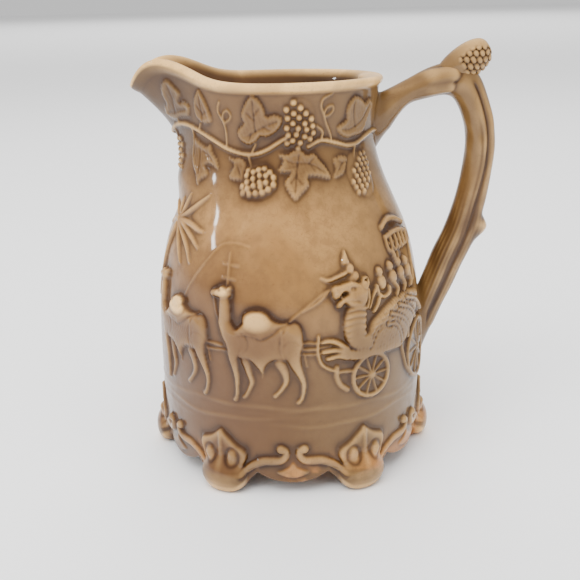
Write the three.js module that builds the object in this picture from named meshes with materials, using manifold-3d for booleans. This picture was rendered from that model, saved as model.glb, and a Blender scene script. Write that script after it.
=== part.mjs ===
// Relief-moulded drabware pitcher: one hollow, slip-cast piece of glazed stoneware.
// Units are millimetres with +Z up. The handle points along +X, the spout along -X,
// and the side with the procession faces -Y. The pitcher stands on z = 0.
// An azimuth is in degrees, measured from the front (-Y) towards the handle (+X).

import * as THREE from 'three';
import * as BufferGeometryUtils from 'three/addons/utils/BufferGeometryUtils.js';
import Module from 'manifold-3d';

const wasm = await Module();
wasm.setup();

// Driving dimensions of the vessel
const rimHeight = 181;
const rimRadius = 44.2;
const neckBelowRim = 26;
const neckHeight = rimHeight - neckBelowRim;
const neckRadius = 41.5;
const shoulderHeight = 105;
const shoulderRadius = 58.3;
const shoulderSlope = -0.27;
const bellyHeight = 48;
const bellyRadius = 63.8;
const hemRadius = 61.8;
const wallThickness = 5;
const neckFlattening = 0.065;

// Rolled rim
const beadHeight = 5;
const beadOverhang = 1.3;

// Spout: a throat that swells from the shoulder and a lip that leans out above it
const spoutAzimuth = -90;
const throatDepth = 61;
const throatStart = rimHeight - throatDepth;
const throatSwell = 6.2;
const throatWidth = 44;
const lipDepth = 37;
const lipStart = rimHeight - lipDepth;
const lipReach = 20.6;
const lipWidth = 18.6;
const crestRise = 14.5;
const crestWidth = 31;
const tipDrop = 17;
const tipWidth = 10.5;

// Underside: a flat standing disc, a recess around it and a scalloped hem
const discRadius = 36;
const recessHeight = 9;
const recessRadius = 53;
const hemThickness = 4.5;
const lowestStation = 15;
const valleyHeight = 10;
const scallopHeight = 4.8;
const footHeight = 2;

// Six feet, each a mask above a round toe
const footCount = 6;
const toeOverhang = 1.6;
const toeRadius = hemRadius + toeOverhang;
const toeWidth = 10.6;
const toeDepth = 6.6;
const toeHeight = 9;
const toeCentre = 7.4;
const maskWidth = 22;
const maskHeight = 17;
const maskPeak = 14;
const maskRelief = 2;
const eyeSpacing = 5.2;
const eyeWidth = 2.8;
const eyeTallness = 4.2;

// Handle, a crabstock branch in the plane y = 0
const rootBelowRim = 16.5;
const handleRootHeight = rimHeight - rootBelowRim;
const handleCornerRadius = 80.5;
const handleCornerHeight = handleRootHeight + 13;
const gripRadius = 91.2;
const gripHeight = handleCornerHeight - 34.5;
const handleFootHeight = 50;
const gripThickness = 14.8;
const gripDepth = 14;
const armThickness = 11.2;
const armFlare = 9;
const strandThickness = 3.6;
const knobHeight = handleCornerHeight + 11.2;
const knobRadius = handleCornerRadius + 6;
const knobSize = 6.8;
const knobTilt = 40;
const thornHeight = 108;
const thornSize = 4.2;

// Relief on the neck and the belly
const reliefHeight = 1.9;
const reliefSink = 1.2;
const vineHeight = rimHeight - 26.5;
const vineSwing = 3.6;
const vineWidth = 3;
const vinePeriod = 62.5;
const vinePhase = 9;
const grapeRadius = 1.9;
const grapeRelief = 2.6;
const leafSize = 10;
const upperSprig = vineHeight + 10;
const lowerSprig = vineHeight - 13;
const groundHeight = 45;
const figureSize = 1;
const carAzimuth = 34.5;
const smallWheelRadius = 10.8;
const largeWheelRadius = 15.5;

// Facets
const columns = 48;

const DEGREE = Math.PI / 180;

function bell(distance, width) {
  return Math.exp(-((distance / width) ** 2));
}

function between(start, end, value) {
  return THREE.MathUtils.clamp((value - start) / (end - start), 0, 1);
}

function hermite(x, x0, y0, slope0, x1, y1, slope1) {
  const span = x1 - x0;
  const t = (x - x0) / span;
  const rise = t * t * (3 - 2 * t);
  return y0 + (y1 - y0) * rise + span * (slope0 * t * (1 - t) ** 2 - slope1 * t * t * (1 - t));
}

// Radius of the plain body, a run of smooth curves through hem, belly, shoulder, neck and rim
function bodyRadius(height) {
  if (height < bellyHeight) {
    return hermite(height, 0, hemRadius, 0.08, bellyHeight, bellyRadius, 0);
  }
  if (height < shoulderHeight) {
    return hermite(height, bellyHeight, bellyRadius, 0, shoulderHeight, shoulderRadius, shoulderSlope);
  }
  if (height < neckHeight) {
    return hermite(height, shoulderHeight, shoulderRadius, shoulderSlope, neckHeight, neckRadius, 0);
  }
  return hermite(height, neckHeight, neckRadius, 0, rimHeight, rimRadius, 0.13);
}

function awayFromSpout(azimuth) {
  const turn = ((azimuth - spoutAzimuth) % 360 + 540) % 360 - 180;
  return Math.abs(turn);
}

// The lip leans out towards the spout, and its edge climbs to a crest and dips at the tip
function spoutReach(azimuth, height) {
  const away = awayFromSpout(azimuth);
  const throat = between(throatStart, lipStart - 4, height);
  const lip = between(lipStart, rimHeight, height);
  const swell = throatSwell * throat * throat * (3 - 2 * throat) * bell(away, throatWidth);
  return swell + lipReach * lip ** 1.65 * bell(away, lipWidth);
}

function spoutLift(azimuth, height) {
  const away = awayFromSpout(azimuth);
  const share = between(lipStart, rimHeight, height) ** 1.6;
  return share * (crestRise * bell(away, crestWidth) - tipDrop * bell(away, tipWidth));
}

function wallPoint(azimuth, height, offset = 0) {
  const radius = bodyRadius(height) + spoutReach(azimuth, height) + offset;
  const flat = 1 - neckFlattening * between(shoulderHeight, lipStart, height);
  return new THREE.Vector3(
    radius * Math.sin(azimuth * DEGREE),
    -radius * Math.cos(azimuth * DEGREE) * flat,
    height + spoutLift(azimuth, height),
  );
}

function wallNormal(azimuth, height) {
  const step = 0.5;
  const across = wallPoint(azimuth + step, height).sub(wallPoint(azimuth - step, height));
  const upward = wallPoint(azimuth, height + step).sub(wallPoint(azimuth, height - step));
  return across.cross(upward).normalize();
}

function onWall(azimuth, height, out) {
  return wallPoint(azimuth, height).addScaledVector(wallNormal(azimuth, height), out);
}

// Closed solid through a list of rings with equally many points; each end is closed by a fan
function loft(rings, startCentre, endCentre) {
  const positions = rings.flat().flatMap((point) => [point.x, point.y, point.z]);
  const count = rings[0].length;
  const faces = [];
  for (let ring = 0; ring + 1 < rings.length; ring += 1) {
    for (let side = 0; side < count; side += 1) {
      const next = (side + 1) % count;
      const a = ring * count + side;
      const b = ring * count + next;
      faces.push(a, b, b + count, a, b + count, a + count);
    }
  }
  const start = positions.length / 3;
  positions.push(startCentre.x, startCentre.y, startCentre.z, endCentre.x, endCentre.y, endCentre.z);
  const last = (rings.length - 1) * count;
  for (let side = 0; side < count; side += 1) {
    const next = (side + 1) % count;
    faces.push(start, next, side, start + 1, last + side, last + next);
  }
  const geometry = new THREE.BufferGeometry();
  geometry.setAttribute('position', new THREE.Float32BufferAttribute(positions, 3));
  geometry.setIndex(faces);
  return geometry;
}

function solidOf(geometry) {
  const plain = geometry.clone();
  plain.deleteAttribute('normal');
  plain.deleteAttribute('uv');
  const merged = BufferGeometryUtils.mergeVertices(plain, 1e-4);
  const solid = new wasm.Manifold(new wasm.Mesh({
    numProp: 3,
    vertProperties: new Float32Array(merged.attributes.position.array),
    triVerts: new Uint32Array(merged.index.array),
  }));
  return solid.volume() < 0 ? solidOf(flipped(merged)) : solid;
}

function flipped(geometry) {
  const index = geometry.index.array;
  for (let corner = 0; corner < index.length; corner += 3) {
    [index[corner], index[corner + 1]] = [index[corner + 1], index[corner]];
  }
  return geometry;
}

function joined(solids) {
  let list = solids;
  while (list.length > 1) {
    const pairs = [];
    for (let item = 0; item < list.length; item += 2) {
      pairs.push(item + 1 < list.length ? list[item].add(list[item + 1]) : list[item]);
    }
    list = pairs;
  }
  return list[0];
}

function centreOf(points) {
  const sum = points.reduce((total, point) => total.add(point), new THREE.Vector3());
  return sum.divideScalar(points.length);
}

// Lower edge of the skirt: round lobes at the feet and between them, with valleys in between
function hemHeight(azimuth) {
  const period = 360 / footCount;
  const footAzimuth = period / 2;
  const turn = Math.abs(((azimuth - footAzimuth) % period + 1.5 * period) % period - period / 2);
  const lobe = period / 4;
  const bottom = turn <= lobe ? footHeight : scallopHeight;
  const across = (turn <= lobe ? turn : period / 2 - turn) / lobe;
  return bottom + (valleyHeight - bottom) * (1 - Math.sqrt(Math.max(0, 1 - across ** 2.4)));
}

// The vessel is one closed surface: underside, skirt, outer wall, rim, inner wall and floor
function vessel() {
  const azimuths = Array.from({ length: columns }, (_, column) => (column * 360) / columns);
  const flatRing = (radius, height) => azimuths.map((azimuth) => new THREE.Vector3(
    radius * Math.sin(azimuth * DEGREE),
    -radius * Math.cos(azimuth * DEGREE),
    height,
  ));
  const hemRing = (radius) => azimuths.map((azimuth) => new THREE.Vector3(
    radius * Math.sin(azimuth * DEGREE),
    -radius * Math.cos(azimuth * DEGREE),
    hemHeight(azimuth),
  ));
  const wallRing = (height, offset, drop = 0) => azimuths.map((azimuth) => {
    const point = wallPoint(azimuth, height, offset);
    point.z -= drop;
    return point;
  });
  const beadBottom = rimHeight - beadHeight;
  const stations = (shares) => shares.map((share) => lowestStation + share * (beadBottom - lowestStation));
  const outerHeights = stations([0, 0.13, 0.29, 0.45, 0.55, 0.64, 0.72, 0.795, 0.87, 0.94]);
  const innerHeights = stations([0.9, 0.815, 0.7, 0.55, 0.32]);
  const floorHeight = recessHeight + wallThickness;
  const rings = [
    flatRing(discRadius, 0),
    flatRing(discRadius + 1.5, recessHeight - 2),
    flatRing(recessRadius, recessHeight + 0.5),
    hemRing(hemRadius - hemThickness),
    hemRing(hemRadius - 0.6),
    ...outerHeights.map((height) => wallRing(height, 0)),
    wallRing(beadBottom, 0),
    wallRing(beadBottom + 1.6, beadOverhang),
    wallRing(rimHeight, beadOverhang - 0.5, 1.2),
    wallRing(rimHeight, -wallThickness * 0.35),
    wallRing(rimHeight, -wallThickness * 0.9, 1.4),
    ...innerHeights.map((height) => wallRing(height, -wallThickness)),
    flatRing(recessRadius - 2, floorHeight + 1),
    flatRing(discRadius - 2, floorHeight - 1),
    flatRing(discRadius - wallThickness, wallThickness + 1),
  ];
  const middle = new THREE.Vector3(0, 0, wallThickness + 1);
  return solidOf(loft(rings, new THREE.Vector3(0, 0, 0), middle));
}

// A place on the wall: (u, v) in millimetres across and up from an anchor, and out from the wall
function placeAt(azimuth, height, turn = 0, size = 1) {
  const radius = bodyRadius(height) + spoutReach(azimuth, height);
  const cosine = Math.cos(turn * DEGREE);
  const sine = Math.sin(turn * DEGREE);
  return (u, v, out) => {
    const across = size * (u * cosine - v * sine);
    const upward = size * (u * sine + v * cosine);
    return onWall(azimuth + across / radius / DEGREE, height + upward, out);
  };
}

// A raised strand with a ridge, tapering towards its end
function strand(place, path, width, relief, taper = 0, steps = 0) {
  const curve = new THREE.CatmullRomCurve3(path.map(([u, v]) => new THREE.Vector3(u, v, 0)));
  const count = steps || Math.max(2, Math.round(curve.getLength() / 6));
  const rings = [];
  for (let step = 0; step <= count; step += 1) {
    const share = step / count;
    const point = curve.getPoint(share);
    const ahead = curve.getTangent(share);
    const half = (width / 2) * (1 - taper * share);
    const ridge = relief * (1 - 0.5 * taper * share);
    const left = place(point.x - ahead.y * half, point.y + ahead.x * half, -reliefSink);
    const right = place(point.x + ahead.y * half, point.y - ahead.x * half, -reliefSink);
    rings.push([left, place(point.x, point.y, ridge), right]);
  }
  return solidOf(loft(rings, centreOf(rings[0]), centreOf(rings.at(-1))));
}

// A low mound with an outline that is worked out from its polar radius
function mound(place, sides, polar, relief, edge = 0.45) {
  const outline = Array.from({ length: sides }, (_, side) => {
    const angle = (side / sides) * 360;
    const radius = polar(angle);
    return [radius * Math.cos(angle * DEGREE), radius * Math.sin(angle * DEGREE), radius];
  });
  const widest = Math.max(...outline.map((point) => point[2]));
  const foot = outline.map(([u, v]) => place(u, v, -reliefSink));
  const brow = outline.map(([u, v, radius]) => place(
    u * 0.9,
    v * 0.9,
    relief * edge * (0.4 + (0.6 * radius) / widest),
  ));
  return solidOf(loft([foot, brow], place(0, 0, -reliefSink), place(0, 0, relief)));
}

function oval(place, width, height, relief, sides = 8) {
  const polar = (angle) => {
    const u = Math.cos(angle * DEGREE) / (width / 2);
    const v = Math.sin(angle * DEGREE) / (height / 2);
    return 1 / Math.hypot(u, v);
  };
  return mound(place, sides, polar, relief, 0.72);
}

// Vine leaf: pointed lobes around the stalk, which leaves it downwards
function leaf(azimuth, height, turn, size = leafSize, lobes = 5) {
  const spread = 360 / (lobes + 1);
  const polar = (angle) => {
    const fromStalk = ((angle - 270) % 360 + 360) % 360;
    const phase = (fromStalk / spread) % 1;
    const tip = Math.abs(Math.cos(phase * Math.PI));
    const stalk = fromStalk < spread / 2 || fromStalk > 360 - spread / 2;
    const long = 1 + 0.25 * bell(fromStalk - 180, 40);
    return size * (stalk ? 0.35 : (0.62 + 0.38 * tip) * long);
  };
  return mound(placeAt(azimuth, height, turn), 2 * (lobes + 1), polar, reliefHeight, 0.5);
}

// Bunch of grapes: six-sided beads packed like a honeycomb, in rows that differ by one bead
function grapes(azimuth, height, turn, rows) {
  const place = placeAt(azimuth, height, turn);
  const pitch = grapeRadius * 2;
  const centres = rows.flatMap((count, row) => Array.from({ length: count }, (_, item) => [
    (item - (count - 1) / 2) * pitch,
    ((rows.length - 1) / 2 - row) * pitch * Math.sqrt(0.75),
  ]));
  const cornersOf = ([u, v]) => Array.from({ length: 6 }, (_, corner) => {
    const angle = (corner + 0.5) * 60 * DEGREE;
    return [u + (pitch / Math.sqrt(3)) * Math.cos(angle), v + (pitch / Math.sqrt(3)) * Math.sin(angle)];
  });
  const nameOf = ([u, v]) => `${Math.round(u * 20)}/${Math.round(v * 20)}`;
  const meeting = {};
  for (const corner of centres.flatMap(cornersOf)) {
    meeting[nameOf(corner)] = (meeting[nameOf(corner)] || 0) + 1;
  }
  const positions = [];
  const addFan = (centre, relief, valley, turned) => {
    const corners = cornersOf(centre).map((corner) => {
      const inner = meeting[nameOf(corner)] === 3;
      return place(corner[0], corner[1], inner ? valley : -reliefSink);
    });
    corners.forEach((corner, side) => {
      const next = corners[(side + 1) % 6];
      const apex = place(centre[0], centre[1], relief);
      const face = turned ? [apex, next, corner] : [apex, corner, next];
      positions.push(...face.flatMap((point) => [point.x, point.y, point.z]));
    });
  };
  for (const centre of centres) {
    addFan(centre, grapeRelief, grapeRelief * 0.3, false);
    addFan(centre, -2 * reliefSink, -2 * reliefSink, true);
  }
  const geometry = new THREE.BufferGeometry();
  geometry.setAttribute('position', new THREE.Float32BufferAttribute(positions, 3));
  return solidOf(BufferGeometryUtils.mergeVertices(geometry, 1e-3));
}

// The vine runs around half of the neck; its stem rises and falls once in each period
function vine(rich = true) {
  const start = spoutAzimuth + 4;
  const end = -spoutAzimuth - 8;
  const steps = 14;
  const path = Array.from({ length: steps + 1 }, (_, step) => {
    const azimuth = start + ((end - start) * step) / steps;
    const swing = Math.cos(((azimuth - vinePhase - 35) / vinePeriod) * 360 * DEGREE);
    return [azimuth, vineHeight + vineSwing * swing];
  });
  const rings = path.map(([azimuth, height]) => [
    onWall(azimuth, height + vineWidth / 2, -reliefSink),
    onWall(azimuth, height, reliefHeight),
    onWall(azimuth, height - vineWidth / 2, -reliefSink),
  ]);
  const stem = solidOf(loft(rings, centreOf(rings[0]), centreOf(rings.at(-1))));
  const sprigs = [];
  for (const repeat of [-1, 0, 1]) {
    const middle = vinePhase + repeat * vinePeriod;
    if (rich && repeat === 0) {
      sprigs.push(grapes(middle + 2, upperSprig, 8, [3, 4, 3, 2, 1]));
    }
    if (!rich && repeat === 1) {
      continue;
    }
    sprigs.push(leaf(middle - 28, upperSprig + 1.5, 10, leafSize * 0.95, 3));
    if (repeat < 1) {
      sprigs.push(leaf(middle, lowerSprig + 1.5, 190, leafSize, 5));
    }
    if (rich) {
      sprigs.push(grapes(middle - 25, lowerSprig - 2.5, -35, [2, 3, 2, 1]));
    }
  }
  return [stem, ...sprigs];
}

// Camel in profile, walking towards the spout, with its feet on the ground line
function camel(azimuth) {
  const place = placeAt(azimuth, groundHeight, 0, figureSize);
  const at = (u, v) => (x, y, out) => place(u + x, v + y, out);
  return [
    oval(at(1, 29), 29, 16.5, 2.8, 8),
    oval(at(0, 38), 16, 10, 3, 6),
    strand(place, [[-9, 29], [-16, 31], [-18, 37], [-15, 48], [-21, 49.5]], 6.4, 2.4, 0.3, 4),
    strand(place, [[-9, 26], [-12, 13], [-11, 0]], 5, 2.2, 0.35, 1),
    strand(place, [[-7, 24], [-5, 12], [-7, 1]], 4.4, 1.5, 0.35, 1),
    strand(place, [[10, 28], [9, 13], [5, 1]], 4.8, 1.5, 0.35, 1),
    strand(place, [[12, 28], [17, 14], [13, 0]], 6, 2.2, 0.4, 2),
  ];
}

// Spoked wheel lying on the wall: hub, spokes and a rim of straight pieces
function wheel(azimuth, height, radius, spokes) {
  const place = placeAt(azimuth, height);
  const sides = 12;
  const parts = [];
  const corner = (side, distance, out) => {
    const angle = (side / sides) * 2 * Math.PI;
    return place(distance * Math.cos(angle), distance * Math.sin(angle), out);
  };
  const rings = Array.from({ length: sides }, (_, side) => [
    corner(side, radius - 2.2, -reliefSink),
    corner(side, radius - 0.4, reliefHeight),
    corner(side, radius + 0.4, -reliefSink),
  ]);
  parts.push(solidOf(ringLoop(rings)));
  parts.push(oval(place, 5, 5, 2.6, 5));
  for (let bar = 0; bar < spokes / 2; bar += 1) {
    const angle = ((bar + 0.5) / spokes) * 2 * Math.PI;
    const tip = [(radius - 1.4) * Math.cos(angle), (radius - 1.4) * Math.sin(angle)];
    parts.push(strand(place, [[-tip[0], -tip[1]], tip], 1.8, 1.3, 0, 2));
  }
  return parts;
}

// Closed tube through sections that run around and meet again
function ringLoop(rings) {
  const positions = rings.flat().flatMap((point) => [point.x, point.y, point.z]);
  const count = rings[0].length;
  const faces = [];
  rings.forEach((_, ring) => {
    const start = ring * count;
    const after = ((ring + 1) % rings.length) * count;
    for (let side = 0; side < count; side += 1) {
      const next = (side + 1) % count;
      faces.push(start + side, start + next, after + next, start + side, after + next, after + side);
    }
  });
  const geometry = new THREE.BufferGeometry();
  geometry.setAttribute('position', new THREE.Float32BufferAttribute(positions, 3));
  geometry.setIndex(faces);
  return geometry;
}

// Car with a dragon prow: head, ringed neck, scaly hull, clawed arm, riders and canopy
function dragonCar() {
  const place = placeAt(carAzimuth, groundHeight, 0, figureSize);
  const at = (u, v) => (x, y, out) => place(u + x, v + y, out);
  const parts = [
    strand(place, [[-19, 50], [-12, 50], [-5, 47], [-5, 38], [-7, 30], [2, 24]], 9, 3.2, -0.3, 6),
    strand(place, [[-16, 45.5], [-10, 44]], 3.6, 2.4, 0.3, 1),
    strand(place, [[-4, 49], [0, 55]], 3.4, 2, 0.5, 1),
    strand(place, [[-4, 27], [12, 33], [29, 43]], 16, 3.2, 0.2, 3),
    strand(place, [[15, 21], [-12, 22], [-23, 27]], 5, 2.4, 0.35, 3),
    strand(place, [[-32, 27], [-22, 26]], 2.6, 1.5, 0, 1),
    strand(place, [[14, 20], [36, 14]], 3.6, 2, 0, 2),
  ];
  for (const [u, v] of [[-9, 60], [11, 52], [22, 51]]) {
    parts.push(oval(at(u, v - 4.5), 7, 10, 2.2, 5));
    parts.push(oval(at(u, v + 3), 4.6, 5, 2.4, 5));
  }
  parts.push(strand(place, [[-11, 57], [-20, 55]], 2.8, 1.8, 0.4, 1));
  parts.push(strand(place, [[15, 63], [36, 63]], 5.5, 2.2, 0, 1));
  parts.push(strand(place, [[17, 69], [34, 71]], 6, 2.2, 0, 1));
  return parts;
}

// Palm: a trunk and drooping fronds around its crown
function palm(azimuth) {
  const place = placeAt(azimuth, shoulderHeight + 14, 0, figureSize);
  const parts = [strand(place, [[-5, -34], [-3, -15], [0, 0]], 4, 1.8, 0.2, 3)];
  const fronds = [[22, 9, 14], [21, -3, 9], [19, -13, 4], [9, -16, 3], [-4, -14, 2], [6, 13, 9]];
  for (const [u, v, arch] of fronds) {
    parts.push(strand(place, [[0, 0], [u * 0.5, v * 0.5 + arch * 0.3], [u, v]], 5, 1.7, 0.7, 2));
  }
  return parts;
}

// Foot: a round toe under a peaked mask with two bulging eyes
function foot(azimuth) {
  const toe = new THREE.SphereGeometry(1, 8, 4);
  toe.scale(toeWidth, toeDepth, toeHeight);
  toe.translate(0, -toeRadius, toeCentre);
  const corners = toe.attributes.position;
  for (let corner = 0; corner < corners.count; corner += 1) {
    corners.setZ(corner, Math.max(0, corners.getZ(corner)));
  }
  toe.rotateZ(azimuth * DEGREE);
  const place = placeAt(azimuth, maskHeight);
  const shield = (angle) => {
    const peak = maskPeak * bell(((angle - 90 + 540) % 360) - 180, 26);
    const box = (maskWidth / 2) / Math.max(Math.abs(Math.cos(angle * DEGREE)), 0.82);
    return Math.max(peak, box * 0.92);
  };
  const eye = (side) => oval(
    placeAt(azimuth + (side * eyeSpacing) / bodyRadius(maskHeight) / DEGREE, maskHeight),
    eyeWidth * 2,
    eyeTallness * 2,
    maskRelief + 1.1,
    5,
  );
  return [solidOf(toe), mound(place, 10, shield, maskRelief + 0.8, 0.8), eye(-1), eye(1)];
}

// Pair of scrolls between two feet that curl up where they meet
function scrolls(azimuth) {
  return [-1, 1].map((side) => {
    const path = [[19, -6], [12, 0.5], [4, 0.5], [1, 5], [5.4, 7.4]];
    const place = placeAt(azimuth, maskHeight - 1);
    return strand(place, path.map(([u, v]) => [u * side, v]), 3.6, 2, 0, 5);
  });
}

// Handle: rings along a curve in the plane y = 0, thicker at its roots and its corner
function handle() {
  const rootRadius = neckRadius - 2;
  const curve = new THREE.CatmullRomCurve3([
    new THREE.Vector3(rootRadius, 0, handleRootHeight),
    new THREE.Vector3(rootRadius + 19, 0, handleRootHeight + 8.6),
    new THREE.Vector3(handleCornerRadius, 0, handleCornerHeight),
    new THREE.Vector3(gripRadius - 1.6, 0, handleCornerHeight - 18),
    new THREE.Vector3(gripRadius, 0, gripHeight),
    new THREE.Vector3(gripRadius - 6, 0, thornHeight + 3),
    new THREE.Vector3(bellyRadius + 13.5, 0, handleFootHeight + 40),
    new THREE.Vector3(bellyRadius + 4, 0, handleFootHeight + 17),
    new THREE.Vector3(bellyRadius - 3.5, 0, handleFootHeight),
  ], false, 'centripetal');
  const sides = 8;
  const steps = 15;
  const rings = [];
  for (let step = 0; step <= steps; step += 1) {
    const share = step / steps;
    const point = curve.getPoint(share);
    const ahead = curve.getTangent(share);
    const outward = new THREE.Vector3(-ahead.z, 0, ahead.x);
    const root = armFlare * bell(share, 0.05) - (gripThickness - armThickness) * bell(share - 0.12, 0.07);
    const corner = 2 * bell(share - 0.26, 0.05);
    const low = 1.8 * bell(share - 0.72, 0.16);
    const half = (gripThickness + root + corner + low) / 2;
    const depth = (gripDepth + armFlare * 0.4 * bell(share, 0.05) + 2 * bell(share - 1, 0.15)) / 2;
    rings.push(Array.from({ length: sides }, (_, side) => {
      const angle = ((side + 0.5) / sides) * 2 * Math.PI;
      return point.clone()
        .addScaledVector(outward, half * Math.cos(angle))
        .add(new THREE.Vector3(0, depth * Math.sin(angle), 0));
    }));
  }
  const branch = solidOf(loft(rings, centreOf(rings[0]), centreOf(rings.at(-1))));
  return [branch, ...knob(), thorn(), ...branchStrands(curve)];
}

// Thumb rest: a bunch of grapes on the corner of the handle, on a swelling of the branch
function knob() {
  const swelling = new THREE.IcosahedronGeometry(1.08, 0);
  swelling.scale(knobSize * 1.75, knobSize * 0.95, knobSize * 1.05);
  swelling.rotateY(-knobTilt * DEGREE);
  swelling.translate(knobRadius - knobSize * 0.6, 0, knobHeight - knobSize * 0.35);
  const solids = [solidOf(swelling)];
  for (const [count, tilt] of [[5, 8], [3, 55]]) {
    for (let item = 0; item < count; item += 1) {
      const turn = ((item + 0.5) / count) * 360 * DEGREE;
      const reach = knobSize * 0.72 * Math.cos(tilt * DEGREE);
      const bead = new THREE.OctahedronGeometry(knobSize * 0.55, 0);
      bead.translate(
        knobRadius + knobSize * 0.1 + reach * Math.cos(turn),
        reach * Math.sin(turn),
        knobHeight + knobSize * 0.62 * Math.sin(tilt * DEGREE),
      );
      solids.push(solidOf(bead));
    }
  }
  return solids;
}

function thorn() {
  const lump = new THREE.OctahedronGeometry(thornSize, 0);
  lump.scale(1, 1.1, 1.2);
  lump.translate(gripRadius + 1.2, 0, thornHeight);
  return solidOf(lump);
}

// Outer strand of the branch, which leaves the thumb rest and winds down both faces of the grip
function branchStrands(curve) {
  return [-1, 1].map((face) => {
    const rings = [];
    const steps = 7;
    for (let step = 0; step <= steps; step += 1) {
      const share = 0.27 + (0.62 * step) / steps;
      const point = curve.getPoint(share);
      const ahead = curve.getTangent(share);
      const outward = new THREE.Vector3(-ahead.z, 0, ahead.x);
      const middle = point.clone().addScaledVector(outward, gripThickness * 0.22);
      middle.y += face * gripDepth * 0.4;
      const half = strandThickness / 2;
      rings.push([
        middle.clone().addScaledVector(outward, half),
        middle.clone().add(new THREE.Vector3(0, face * half, 0)),
        middle.clone().addScaledVector(outward, -half),
      ]);
    }
    return solidOf(loft(rings, centreOf(rings[0]), centreOf(rings.at(-1))));
  });
}

function mirrored(solid) {
  const mesh = solid.getMesh();
  const positions = Float32Array.from(mesh.vertProperties);
  for (let value = 1; value < positions.length; value += 3) {
    positions[value] *= -1;
  }
  const faces = Uint32Array.from(mesh.triVerts);
  for (let corner = 0; corner < faces.length; corner += 3) {
    [faces[corner], faces[corner + 1]] = [faces[corner + 1], faces[corner]];
  }
  return new wasm.Manifold(new wasm.Mesh({ numProp: 3, vertProperties: positions, triVerts: faces }));
}

function pitcher() {
  const frontCamels = [...camel(-12), ...camel(-50)];
  const front = joined([
    ...vine(),
    ...frontCamels,
    ...dragonCar(),
    ...wheel(carAzimuth, groundHeight + smallWheelRadius - 1.3, smallWheelRadius, 6),
    ...wheel(carAzimuth + 35.5, groundHeight + largeWheelRadius - 5.5, largeWheelRadius, 6),
    ...palm(-68),
  ]);
  const back = mirrored(joined([...vine(false), ...camel(-12)]));
  const feet = [];
  for (let item = 0; item < footCount; item += 1) {
    feet.push(...foot(((item + 0.5) * 360) / footCount));
  }
  for (const azimuth of [-60, 0, 60]) {
    feet.push(...scrolls(azimuth));
  }
  const root = joined(handle()).subtract(cavity());
  return joined([vessel(), front, back, joined(feet), root]);
}

// What the handle's root would fill inside the neck, up to the middle of the wall
function cavity() {
  const azimuths = Array.from({ length: columns / 2 }, (_, column) => (column * 720) / columns);
  const heights = [0.22, 0.5, 0.66, 0.83, 0.967].map((share) => share * rimHeight);
  const rings = heights.map((height) => azimuths.map((azimuth) => wallPoint(
    azimuth,
    height,
    -wallThickness * 0.6,
  )));
  return solidOf(loft(rings, centreOf(rings[0]), centreOf(rings.at(-1))));
}

function meshOf(solid, name, material) {
  const result = solid.getMesh();
  const geometry = new THREE.BufferGeometry();
  geometry.setAttribute('position', new THREE.BufferAttribute(Float32Array.from(result.vertProperties), 3));
  geometry.setIndex(new THREE.BufferAttribute(Uint32Array.from(result.triVerts), 1));
  geometry.computeVertexNormals();
  const mesh = new THREE.Mesh(geometry, material);
  mesh.name = name;
  return mesh;
}

const drabGlaze = new THREE.MeshStandardMaterial({ color: 0xb8936a, roughness: 0.22, metalness: 0 });

const group = new THREE.Group();
group.add(meshOf(pitcher(), 'pitcher', drabGlaze));

export default group;
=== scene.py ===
# %% [markdown]
# # A drab-glazed pitcher with a vine, a procession and mask feet
# The real pitcher is one slip-cast piece of stoneware. Its relief comes out of the mould, and a
# glossy brown glaze runs off the high places and pools in the low ones. That pooling is what
# makes the relief readable, so the relief here is real geometry, and the glaze colour is worked
# out from it. The CAD part gives the sizes and the main forms; this script adds the finer relief.
import bpy
import numpy as np
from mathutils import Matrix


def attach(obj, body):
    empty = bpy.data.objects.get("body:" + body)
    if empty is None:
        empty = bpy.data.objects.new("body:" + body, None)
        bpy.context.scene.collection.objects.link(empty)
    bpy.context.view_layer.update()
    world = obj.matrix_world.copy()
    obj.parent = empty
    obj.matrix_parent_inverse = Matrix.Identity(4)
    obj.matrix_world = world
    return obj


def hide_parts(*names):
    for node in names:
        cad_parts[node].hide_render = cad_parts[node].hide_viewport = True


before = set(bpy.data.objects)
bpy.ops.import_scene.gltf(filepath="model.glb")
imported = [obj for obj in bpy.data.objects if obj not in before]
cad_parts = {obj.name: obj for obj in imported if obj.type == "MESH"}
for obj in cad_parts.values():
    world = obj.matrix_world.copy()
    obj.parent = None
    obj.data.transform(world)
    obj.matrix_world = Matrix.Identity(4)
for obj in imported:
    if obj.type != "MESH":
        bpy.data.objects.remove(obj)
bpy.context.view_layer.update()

MM = 0.001
DEGREE = np.pi / 180

# %% [markdown]
# ## The plain wall
# A potter would turn this profile as one flowing curve: hem, belly, shoulder, neck, rim. Each
# stretch is a cubic that meets its neighbour with the same slope, so no ring shows on the wall.
# The spout is not a separate part: the neck leans outwards there and its edge climbs and dips.


# %% Profile of the body
BELLY_HEIGHT, SHOULDER_HEIGHT, NECK_HEIGHT, RIM_HEIGHT = 48, 105, 155, 181
HEM_RADIUS, BELLY_RADIUS, SHOULDER_RADIUS, NECK_RADIUS, RIM_RADIUS = 61.8, 63.8, 58.3, 41.5, 44.2
THROAT_HEIGHT = 144


def bell(distance, width):
    """A smooth hump: e to the power of minus the squared share of distance in width."""
    return np.exp(-((distance / width) ** 2))


def between(start, end, value):
    """How far value is on the way from start to end, held between 0 and 1."""
    return np.clip((value - start) / (end - start), 0, 1)


def eased(share):
    """Three shares squared less two cubed: leaves 0 and reaches 1 without a corner."""
    return share * share * (3 - 2 * share)


def hermite(x, x0, y0, slope0, x1, y1, slope1):
    """Cubic through two points with a given slope at each."""
    span = x1 - x0
    t = (x - x0) / span
    bend = slope0 * t * (1 - t) ** 2 - slope1 * t * t * (1 - t)
    return y0 + (y1 - y0) * eased(t) + span * bend


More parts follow.
